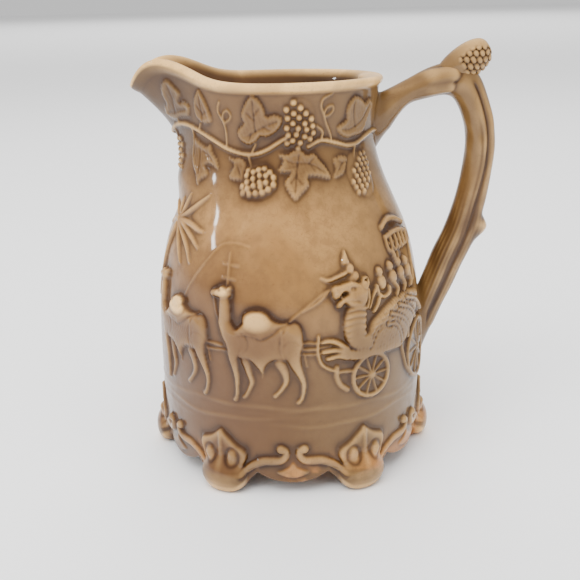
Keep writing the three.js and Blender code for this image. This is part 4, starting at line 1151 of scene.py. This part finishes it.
def handle_tube(share, turn, grow=0.0):
    """Ellipse across the centre line; turn 0 faces outwards and 90 faces the back of the pitcher."""
    middle = branch_point(share)
    ahead = unit(branch_point(share + 0.002) - branch_point(share - 0.002))
    half = (13.7 + 6.4 * bell(share, 0.045) - 3.0 * bell(share - 0.11, 0.05)
            + 1.6 * bell(share - 0.26, 0.05) + 2.2 * bell(share - 0.72, 0.15)) / 2
    depth = (13.4 + 2.2 * bell(share, 0.05) - 1.6 * bell(share - 0.12, 0.06)
             + 2 * bell(share - 1, 0.15)) / 2
    out = (half + grow) * np.cos(turn)
    side = (depth + grow) * np.sin(turn)
    x = middle[..., 0] - ahead[..., 1] * out
    z = middle[..., 1] + ahead[..., 0] * out
    return np.stack([x, side, z], axis=-1)


def outside_wall(points):
    """Distance in mm from the wall's axis side: radius of the point less the wall's there."""
    azimuth = np.arctan2(points[..., 0], -points[..., 1]) / DEGREE
    radius = np.hypot(points[..., 0], points[..., 1] / flatness(points[..., 2]))
    return radius - body_radius(points[..., 2]) - spout_reach(azimuth, points[..., 2])


# %% Where each line of the tube leaves the wall
AROUND = 96
turns = np.arange(AROUND) / AROUND * 2 * np.pi
root_fillet = 3.6 - 1.5 * np.cos(turns)
foot_fillet = 5.0 + 2.2 * np.cos(turns)
probe = np.linspace(0, 1, 1601)
lines = handle_tube(probe[:, None] + 0 * turns, turns[None, :] + 0 * probe[:, None])
gap = outside_wall(lines)
run = np.concatenate([np.zeros((1, AROUND)),
                      np.cumsum(np.linalg.norm(np.diff(lines, axis=0), axis=-1), axis=0)])
leaves, arrives = np.zeros(AROUND), np.zeros(AROUND)
starts, stops = np.zeros(AROUND), np.zeros(AROUND)
for k in range(AROUND):
    outside = np.flatnonzero(gap[:, k] > 0)
    leaves[k], arrives[k] = run[outside[0], k], run[outside[-1], k]
    starts[k] = np.interp(leaves[k] + root_fillet[k], run[:, k], probe)
    stops[k] = np.interp(arrives[k] - foot_fillet[k] * 1.3, run[:, k], probe)
share_out = np.array([np.interp(leaves[k], run[:, k], probe) for k in range(AROUND)])
share_in = np.array([np.interp(arrives[k], run[:, k], probe) for k in range(AROUND)])
print("the arm leaves the wall over shares", share_out.min().round(3), "to", share_out.max().round(3))

# %% Bark, folds and the groove between two strands
STATIONS = 420
stations = np.linspace(0, 1, STATIONS)[:, None]
share = starts + (stops - starts) * stations
face = np.abs(wrap(np.degrees(turns)))[None, :] + 0 * share
plain_tube = handle_tube(share, turns + 0 * share)


def finger(start, end, radius, height):
    """A rounded fold laid on both faces of the arm: a dome about a line in the side view."""
    side_view = plain_tube[..., 0], plain_tube[..., 2]
    t, distance = next(segments(side_view, np.array([start, end])))[2:]
    dome = np.maximum(1 - (distance / radius) ** 2, 0) ** 0.5
    crease = bell(distance - radius - 0.3, 0.7) * eased(between(0.5, 1, t))
    on_faces = eased(between(0.25, 0.6, np.abs(np.sin(turns))))
    return (height * dome * eased(between(0, 0.55, t)) - 0.5 * crease) * on_faces


upper_fold = finger((60, 177.6), (76.4, 180.6), 3.6, 1.5)
lower_fold = finger((60, 172.6), (75.4, 175.2), 3.0, 1.2)
fold = np.where(np.abs(upper_fold) > np.abs(lower_fold), upper_fold, lower_fold)
groove_at = 63 + 11 * eased(between(0.5, 0.6, share)) - 14 * eased(between(0.88, 0.97, share))
groove = (1.25 * bell(face - groove_at, 7) * eased(between(0.268, 0.3, share))
          * (1 - eased(between(0.95, 1.0, share))))
second = (0.4 * bell(face - groove_at - 34 + 24 * between(0.3, 0.8, share), 5)
          * eased(between(0.34, 0.44, share)))
second = second * (1 - eased(between(0.86, 0.97, share)))
outer_strand = 0.4 * bell(face - groove_at * 0.55, 18) * eased(between(0.29, 0.36, share))
THORN_AT = 0.626
thorn = 4.2 * bell(share - THORN_AT, 0.016 + 0.014 * (share > THORN_AT))
thorn = thorn * bell(face, 36) * eased(between(0.592, 0.613, share))
bark = 0.16 * np.sin(face * 0.42 + 9 * share) * eased(between(0.5, 0.75, share))
swell = 0.8 * fold - groove - second + outer_strand + thorn + bark
swell = swell + 0.12 * np.sin(share * 60 + 1.7 * np.cos(turns * 2)) * np.sin(turns * 3)
swell = swell * eased(between(0, 0.03, stations)) * eased(between(1, 0.96, stations))
for step in range(3):
    swell = soften(swell, 0.5)
tube = handle_tube(share, turns + 0 * share, swell)
REACH = 26
eased_tube = running_mean(running_mean(tube, REACH, 0, "edge"), REACH, 0, "edge")
in_bend = bell(share - 0.262, 0.075) * eased(between(70, 140, face))
tube = tube + in_bend[..., None] * (eased_tube - tube)
print("handle relief from", swell.min().round(2), "to", swell.max().round(2), "mm")


# %% Arcs that lay the tube on the wall
UNDER_RIM = 175.4


def from_axis(points):
    """Level direction of length 1 from the pitcher's axis to each point."""
    azimuth = np.arctan2(points[..., 0], -points[..., 1])
    return np.stack([np.sin(azimuth), -np.cos(azimuth), 0 * azimuth], axis=-1)


def skirt(share_at_wall, tube_ring, reach):
    """Quadratic arc: from a point out on the wall, bent by the meeting point, to the tube."""
    meet = handle_tube(share_at_wall, turns)
    normal = from_axis(meet)
    away = meet - meet.mean(axis=0)
    away = unit(away - (away * normal).sum(-1, keepdims=True) * normal)
    lie = meet + away * reach[:, None]
    lie[:, 2] = np.minimum(lie[:, 2], UNDER_RIM)
    for step in range(3):
        lie -= from_axis(lie) * (outside_wall(lie) + 0.05)[:, None]
    rows = []
    for t in np.linspace(0, 1, 9)[:-1]:
        point = (1 - t) ** 2 * lie + 2 * t * (1 - t) * meet + t ** 2 * tube_ring
        short = np.maximum(0, 0.02 + 0.1 * t - outside_wall(point)) * (t > 0) - 0.06 * (t == 0)
        rows.append(point + from_axis(point) * short[:, None])
    sunk = rows[0] - from_axis(rows[0]) * (outside_wall(rows[0]) + 1.2)[:, None]
    return np.array([sunk] + rows)


root_skirt = skirt(share_out, tube[0], root_fillet)
foot_skirt = skirt(share_in, tube[-1], foot_fillet)[::-1]
branch = np.concatenate([root_skirt, tube, foot_skirt])
print("handle sheet:", branch.shape[0], "rings of", AROUND)


# %% Close the ends and give the handle its fields
def closed_tube(name, rings, pool_and_shade, crest):
    """A sheet of rings closed by a fan at each end, with its faces turned outwards."""
    rows, count = rings.shape[:2]
    points = np.concatenate([rings.reshape(-1, 3), [rings[0].mean(0), rings[-1].mean(0)]])
    quads = cells(rows, count)
    first = fan(np.arange(count), rows * count, flip=True)
    last = fan((rows - 1) * count + np.arange(count), rows * count + 1)
    triangles = np.concatenate([first, last])
    normals = grid_normals(rings)
    middle = rings[rows // 2]
    if (normals[rows // 2] * (middle - middle.mean(0))).sum() < 0:
        quads, triangles, normals = quads[:, ::-1], triangles[:, ::-1], -normals
    ends = unit(np.array([rings[0].mean(0) - rings[1].mean(0), rings[-1].mean(0) - rings[-2].mean(0)]))
    normals = np.concatenate([normals.reshape(-1, 3), ends])
    fields = {"pool_and_shade": pool_and_shade, "crest": crest, "inside": 0 * pool_and_shade, "bare": 0 * pool_and_shade}
    fields = {key: np.append(value, [value[0, 0], value[-1, 0]]) for key, value in fields.items()}
    return put_in_scene(name, points, quads, triangles, normals, fields)


def whole(field):
    """A field of the tube with nothing on the skirts at its ends."""
    return np.concatenate([np.zeros(root_skirt.shape[:2]), field, np.zeros(foot_skirt.shape[:2])])


full_swell = whole(swell)
near = box_blur(full_swell, 2) - full_swell
wide = box_blur(box_blur(full_swell, 6), 4) - full_swell
pool_and_inner_shade = 0.6 * np.clip(near / 0.25, 0, 1) + 0.6 * np.clip(wide / 0.5, 0, 1)
crest_branch = np.clip(-wide / 0.5, 0, 1) * 0.7
near_wall = np.concatenate([
    np.linspace(0.75, 0.25, len(root_skirt)),
    0.25 * (1 - between(0, 0.05, stations[:, 0])) + 0.3 * between(0.93, 1, stations[:, 0]),
    np.linspace(0.3, 0.75, len(foot_skirt)),
])
# Painted shade: the tube's inner face, towards the pitcher, is darker; the rest is pooled glaze.
pool_and_inner_shade = pool_and_inner_shade + near_wall[:, None] * 0.8 + 0.22 * between(120, 180, whole(face))
handle = closed_tube("branch_handle", branch, np.clip(pool_and_inner_shade, 0, 1), crest_branch)

# %% [markdown]
# ## The thumb rest
# On the corner sits a bud: smooth on top, with a hanging bunch of grapes on its flanks and back.
# It is a lathe shape about a tilted axis, and the grapes are balls laid out on it in a honeycomb.

# %% Bud with grapes
BUD_START, BUD_TIP = np.array([71.0, 179.0]), np.array([93.0, 193.0])
ROWS, COUNT = 150, 150
t = np.linspace(0, 1, ROWS)[:, None]
phi = (np.arange(COUNT) / COUNT * 2 * np.pi)[None, :]
axis = unit(BUD_TIP - BUD_START)
upright = np.array([-axis[1], axis[0]])
length = float(np.linalg.norm(BUD_TIP - BUD_START))
along = length * (0.5 - 0.5 * np.cos(np.pi * t))
x = along / length
FATTEST = 0.58
offset = (x - FATTEST) / np.where(x < FATTEST, 0.62, 0.421)
bulk = 7.6 * np.maximum(1 - offset ** 2, 0) ** np.where(x < FATTEST, 0.5, 0.36)
low = 0.5 - 0.5 * np.cos(phi)
flank = eased(between(0.2, 0.36, low - 0.3 * between(0.8, 1, x))) * eased(between(0.36, 0.46, x))
PITCH = 2.9
wrap_mm = np.abs(phi - np.pi) * 6.2
bead_row = np.round((along - 6) / (PITCH * 0.87))
shift = np.where(bead_row % 2 == 0, 0.0, PITCH / 2)
bead_side = np.round((wrap_mm - shift) / PITCH) * PITCH + shift
from_bead = np.hypot(along - 6 - bead_row * PITCH * 0.87, wrap_mm - bead_side)
beads = (1.3 * np.sqrt(np.maximum(1 - (from_bead / (PITCH * 0.52)) ** 2, 0)) - 0.7) * flank
radius = np.maximum(bulk + soften(beads, 0.4) * between(0, 2.5, bulk), 0.02)
up = radius * np.cos(phi) * np.where(np.cos(phi) > 0, 0.86, 1.16)
side = radius * np.sin(phi) * 0.95
x_mm, z_mm = (BUD_START[k] + axis[k] * along + upright[k] * up for k in (0, 1))
bud = np.stack([x_mm, side, z_mm], axis=-1)
pool_bud = np.clip(0.25 * flank + np.clip(-beads / 0.35, 0, 1) * flank * 0.9, 0, 1)
crest_bud = np.clip(beads / 0.5, 0, 1) * 0.8 + 0.5 * (1 - flank) * between(0.3, 0.7, x)
thumb = closed_tube("thumb_grapes", bud, pool_bud, crest_bud)

# %% [markdown]
# ## The glaze
# Drab ware has a lead glaze stained brown over a buff body. Three things colour it: how thick the
# glaze lies (pool and crest), slow clouds from the firing, and a net of fine cracks. Each is a node
# group with named sockets, and the shader itself stays in the material with its fixed values.
# Painted shade darkens some zones, the inside and the handle's inner face, and a painted highlight
# pales the rim.


# %% Helpers for nodes
def tone(red, green, blue):
    """Screen colour, 0 to 255, turned into the linear values that shaders use."""
    c = np.array([red, green, blue]) / 255
    linear = np.where(c <= 0.04045, c / 12.92, ((c + 0.055) / 1.055) ** 2.4)
    return (*[float(x) for x in linear], 1.0)


def new_group(name, inputs, outputs):
    """A shader node group with named sockets; returns the group, its input and its output node."""
    group = bpy.data.node_groups.new(name, "ShaderNodeTree")
    for kind, key, value in inputs:
        socket = group.interface.new_socket(key, in_out="INPUT", socket_type=kind)
        socket.default_value = value
    for kind, key in outputs:
        group.interface.new_socket(key, in_out="OUTPUT", socket_type=kind)
    return group, group.nodes.new("NodeGroupInput"), group.nodes.new("NodeGroupOutput")


def node(tree, kind, links=(), **settings):
    """Adds a node, sets its properties, and links or sets its inputs by name or number."""
    made = tree.nodes.new(kind)
    for key, value in settings.items():
        setattr(made, key, value)
    for socket, value in links:
        if isinstance(value, bpy.types.NodeSocket):
            tree.links.new(value, made.inputs[socket])
        else:
            made.inputs[socket].default_value = value
    return made


def maths(tree, operation, a, b=0.0, clamp=False):
    """One sum, product or power of two values."""
    return node(tree, "ShaderNodeMath", [(0, a), (1, b)], operation=operation, use_clamp=clamp).outputs[0]


def blend(tree, factor, first, second):
    """Colour mixed from first to second by a factor."""
    links = [(0, factor), (6, first), (7, second)]
    return node(tree, "ShaderNodeMix", links, data_type="RGBA").outputs[2]


def remap(tree, value, low, high, to_low=0.0, to_high=1.0):
    """Straight line from the range low..high to another, held at its ends and eased."""
    links = [("Value", value), ("From Min", low), ("From Max", high), ("To Min", to_low),
             ("To Max", to_high)]
    return node(tree, "ShaderNodeMapRange", links, interpolation_type="SMOOTHSTEP").outputs[0]


# %% Kiln clouds
clouds, inlet, outlet = new_group(
    "kiln_clouds",
    [("NodeSocketVector", "Place", (0, 0, 0)), ("NodeSocketFloat", "Scale", 20.0),
     ("NodeSocketFloat", "Contrast", 1.0)],
    [("NodeSocketFloat", "Cloud"), ("NodeSocketFloat", "Speckle")],
)
broad = node(clouds, "ShaderNodeTexNoise",
             [("Vector", inlet.outputs["Place"]), ("Scale", inlet.outputs["Scale"]), ("Detail", 5.0),
              ("Roughness", 0.55), ("Distortion", 0.6)])
centred = maths(clouds, "SUBTRACT", broad.outputs["Fac"], 0.5)
lifted = maths(clouds, "ADD", maths(clouds, "MULTIPLY", centred, inlet.outputs["Contrast"]), 0.5, True)
clouds.links.new(lifted, outlet.inputs["Cloud"])
grain = node(clouds, "ShaderNodeTexNoise",
             [("Vector", inlet.outputs["Place"]), ("Scale", 900.0), ("Detail", 2.0)])
clouds.links.new(remap(clouds, grain.outputs["Fac"], 0.6, 0.78), outlet.inputs["Speckle"])
print("group", clouds.name)

# %% Craze lines
craze, inlet, outlet = new_group(
    "craze_net",
    [("NodeSocketVector", "Place", (0, 0, 0)), ("NodeSocketFloat", "Scale", 200.0),
     ("NodeSocketFloat", "Width", 0.03)],
    [("NodeSocketFloat", "Line")],
)
warp = node(craze, "ShaderNodeTexNoise",
            [("Vector", inlet.outputs["Place"]), ("Scale", 60.0), ("Detail", 2.0)])
pushed = node(craze, "ShaderNodeVectorMath", [(0, warp.outputs["Color"]), ("Scale", 0.006)],
              operation="SCALE")
moved = node(craze, "ShaderNodeVectorMath", [(0, inlet.outputs["Place"]), (1, pushed.outputs[0])],
             operation="ADD")
net = node(craze, "ShaderNodeTexVoronoi", [("Vector", moved.outputs[0]), ("Scale", inlet.outputs["Scale"])],
           feature="DISTANCE_TO_EDGE")
line = maths(craze, "SUBTRACT", 1.0,
             maths(craze, "DIVIDE", net.outputs["Distance"], inlet.outputs["Width"]), True)
craze.links.new(line, outlet.inputs["Line"])
print("group", craze.name)

# %% Glaze thickness, with painted shade carried in the same field
thick, inlet, outlet = new_group(
    "glaze_thickness_and_shade",
    [("NodeSocketColor", "Plain", tone(165, 115, 58)), ("NodeSocketColor", "Pooled", tone(54, 30, 10)),
     ("NodeSocketColor", "Thin", tone(238, 190, 120)), ("NodeSocketFloat", "Pool and shade", 0.0),
     ("NodeSocketFloat", "Crest", 0.0), ("NodeSocketFloat", "Cloud", 0.5)],
    [("NodeSocketColor", "Colour"), ("NodeSocketFloat", "Height")],
)
thin = maths(thick, "MULTIPLY", inlet.outputs["Crest"],
             remap(thick, inlet.outputs["Cloud"], 0.2, 0.8, 0.45, 0.85))
paler = blend(thick, thin, inlet.outputs["Plain"], inlet.outputs["Thin"])
deep = maths(thick, "MULTIPLY", inlet.outputs["Pool and shade"],
             remap(thick, inlet.outputs["Cloud"], 0.1, 0.9, 1.0, 0.7), True)
thick.links.new(blend(thick, deep, paler, inlet.outputs["Pooled"]), outlet.inputs["Colour"])
thick.links.new(maths(thick, "MULTIPLY", inlet.outputs["Pool and shade"], 0.3), outlet.inputs["Height"])
print("group", thick.name)

# %% The drab glaze material
glaze = bpy.data.materials.new("drab_glaze")
glaze.use_nodes = True
tree = glaze.node_tree
tree.nodes.clear()
place = node(tree, "ShaderNodeTexCoord").outputs["Object"]
split = node(tree, "ShaderNodeSeparateXYZ", [(0, place)])
field = {
    key: node(tree, "ShaderNodeAttribute", attribute_name=key).outputs["Fac"]
    for key in ("pool_and_shade", "crest", "inside", "bare")
}


def noise(scale, detail, roughness):
    """Fractal noise over the object's own place, in metres."""
    links = [("Vector", place), ("Scale", scale), ("Detail", detail), ("Roughness", roughness)]
    return node(tree, "ShaderNodeTexNoise", links).outputs["Fac"]


cloudy = node(tree, "ShaderNodeGroup", [("Place", place), ("Scale", 26.0), ("Contrast", 2.8)],
              node_tree=clouds)
cloud, speckle = cloudy.outputs["Cloud"], cloudy.outputs["Speckle"]
small = noise(160.0, 4.0, 0.6)
plain = blend(tree, cloud, tone(138, 98, 52), tone(178, 134, 80))
plain = blend(tree, remap(tree, small, 0.4, 0.66, 0.0, 0.6), plain, tone(128, 92, 52))

# %% Darker neck, and painted shade where less light falls
# Tone, strength and ramps (axis, start, full). The neck is darker towards the top; the other five entries
# are painted shade: the lower belly, the belly under the spout, the side towards the handle, the lower
# handle and the spout.
SHADES = {
    "neck": ((86, 60, 34), 0.78, [("Z", 0.12, 0.145)]),
    "lower belly": ((84, 57, 28), 0.88, [("Z", 0.108, 0.05)]),
    "belly under the spout": ((92, 60, 34), 0.68, [("X", 0.02, -0.04), ("Z", 0.125, 0.095)]),
    "handle's side": ((124, 96, 58), 0.5, [("X", -0.01, 0.05)]),
    "lower handle": ((66, 42, 20), 0.85, [("X", 0.066, 0.072), ("Z", 0.15, 0.11)]),
    "spout": ((66, 44, 22), 0.8, [("X", -0.03, -0.048), ("Z", 0.14, 0.155)]),
}
for shade, strength, ramps in SHADES.values():
    for axis_name, start, full in ramps:
        strength = maths(tree, "MULTIPLY", remap(tree, split.outputs[axis_name], start, full), strength)
    plain = blend(tree, strength, plain, tone(*shade))
warm = maths(tree, "MULTIPLY", remap(tree, split.outputs["Z"], 0.024, 0.004), remap(tree, cloud, 0.35, 0.7))
plain = blend(tree, maths(tree, "MULTIPLY", warm, 0.7), plain, tone(206, 134, 64))
print("browner at:", ", ".join(SHADES))

# %% Glaze, cracks and shine put together
links = [("Plain", plain), ("Pool and shade", field["pool_and_shade"]), ("Crest", field["crest"]), ("Cloud", cloud)]
glazed = node(tree, "ShaderNodeGroup", links, node_tree=thick)
inner_tone = blend(tree, cloud, tone(74, 47, 22), tone(104, 69, 36))
# Painted shade: the inside darkens towards the right.
inner_shade = remap(tree, split.outputs["X"], -0.01, 0.02, 0.0, 0.9)
inner_tone = blend(tree, inner_shade, inner_tone, tone(50, 30, 12))
colour = blend(tree, field["inside"], glazed.outputs["Colour"], inner_tone)
colour = blend(tree, field["bare"], colour, tone(196, 178, 148))
links = [("Place", place), ("Scale", 340.0), ("Width", 0.035)]
crack_line = node(tree, "ShaderNodeGroup", links, node_tree=craze).outputs["Line"]
crack = maths(tree, "MULTIPLY", crack_line, remap(tree, cloud, 0.3, 0.6, 0.05, 0.25))
colour = blend(tree, crack, colour, tone(84, 54, 28))
colour = blend(tree, maths(tree, "MULTIPLY", speckle, 0.3), colour, tone(96, 62, 30))
ripple = maths(tree, "MULTIPLY", noise(95.0, 3.0, 0.5), 0.2)
height = maths(tree, "ADD", ripple, glazed.outputs["Height"])
height = maths(tree, "SUBTRACT", height, maths(tree, "MULTIPLY", crack_line, 0.05))
bump = node(tree, "ShaderNodeBump", [("Strength", 0.35), ("Distance", 0.0012), ("Height", height)])
gloss = remap(tree, small, 0.3, 0.8, 0.3, 0.5)
gloss = node(tree, "ShaderNodeMix", [(0, field["bare"]), (2, gloss), (3, 0.85)]).outputs[0]
glossy_share = maths(tree, "SUBTRACT", 1.0, field["bare"], True)
coat = maths(tree, "MULTIPLY", glossy_share, 0.5)
links = [("Base Color", colour), ("Roughness", gloss), ("Coat Weight", coat), ("Coat Roughness", 0.07)]
links += [("Specular IOR Level", 0.12), ("Normal", bump.outputs["Normal"])]
shader = node(tree, "ShaderNodeBsdfPrincipled", links)
node(tree, "ShaderNodeOutputMaterial", [("Surface", shader.outputs[0])])
for piece in (foot, belly, shoulder, neck, handle, thumb):
    piece.data.materials.append(glaze)
print("glaze on six pieces, one casting")

# %% [markdown]
# ## Floor, light and camera
# A pale floor and soft light from the upper left front keep the glaze readable. One small
# bright strip stands for a window: where the throat turns from hollow to round, the glossy wall
# mirrors it twice, as two short upright streaks one above the other.

# %% Floor
floor_mesh = bpy.data.meshes.new("pale_floor")
FLOOR_HALF = 60.0
floor_corners = [(FLOOR_HALF * x, FLOOR_HALF * y, 0) for x, y in ((-1, -1), (1, -1), (1, 1), (-1, 1))]
floor_mesh.from_pydata(floor_corners, [], [(0, 1, 2, 3)])
floor = bpy.data.objects.new("pale_floor", floor_mesh)
bpy.context.scene.collection.objects.link(floor)
paper = bpy.data.materials.new("pale_paper")
paper.use_nodes = True
paper.node_tree.nodes["Principled BSDF"].inputs["Base Color"].default_value = (0.93, 0.93, 0.93, 1)
paper.node_tree.nodes["Principled BSDF"].inputs["Roughness"].default_value = 0.9
floor_mesh.materials.append(paper)

# %% Lights
from mathutils import Matrix, Quaternion, Vector

world = bpy.data.worlds.new("soft_room")
bpy.context.scene.world = world
world.use_nodes = True
world.node_tree.nodes["Background"].inputs["Color"].default_value = (1, 1, 1, 1)
world.node_tree.nodes["Background"].inputs["Strength"].default_value = 0.75


def softbox(name, place, target, wide, tall, watts, mirrored=False, lean=0.0):
    """A rectangle of light that faces a target and leans about its own axis.

    Only a mirrored one shows as a bright shape in the glaze; the others just light it.
    """
    light = bpy.data.lights.new(name, "AREA")
    light.shape, light.size, light.size_y, light.energy = "RECTANGLE", wide, tall, watts
    lamp = bpy.data.objects.new(name, light)
    lamp.location = place
    facing = (Vector(target) - Vector(place)).to_track_quat("-Z", "Y")
    lamp.rotation_euler = (facing @ Quaternion((0, 0, 1), lean * DEGREE)).to_euler()
    lamp.visible_glossy = mirrored
    bpy.context.scene.collection.objects.link(lamp)


MIDDLE = (0.0, 0.0, 0.09)
softbox("overhead", (-0.2, -0.5, 1.7), MIDDLE, 1.6, 1.6, 43)
softbox("key_left", (-1.1, -1.2, 1.4), MIDDLE, 1.2, 1.2, 20)
softbox("window", (-0.68, -0.169, 0.392), (-0.032, -0.04, 0.12), 0.04, 0.08, 0.7, True, 53.8)
softbox("fill_right", (1.3, -1.0, 0.9), MIDDLE, 1.2, 1.2, 8)
softbox("back_top", (0.1, 1.2, 1.5), MIDDLE, 1.4, 0.8, 12)
softbox("far_wash", (0, 7, 4), (0, 7, 0), 8, 8, 420)
print("five soft lights and one small window")

# %% Camera
PITCH_DOWN, ROLL = 0.307, 0.023
right = Vector((1, 0, 0))
lifted = Vector((0, np.sin(PITCH_DOWN), np.cos(PITCH_DOWN)))
ahead = Vector((0, np.cos(PITCH_DOWN), -np.sin(PITCH_DOWN)))
camera_x = right * np.cos(ROLL) - lifted * np.sin(ROLL)
camera_y = right * np.sin(ROLL) + lifted * np.cos(ROLL)
lens = bpy.data.cameras.new("photo_view")
lens.sensor_width, lens.lens, lens.shift_y = 36, 55.14, -0.0145
lens.clip_start, lens.clip_end = 0.01, 20
camera = bpy.data.objects.new("photo_view", lens)
turned = Matrix((camera_x, camera_y, -ahead)).transposed().to_4x4()
camera.matrix_world = Matrix.Translation((0.0005, -0.4175, 0.214)) @ turned
bpy.context.scene.collection.objects.link(camera)
bpy.context.scene.camera = camera
print("camera at", [round(x, 4) for x in camera.matrix_world.translation])
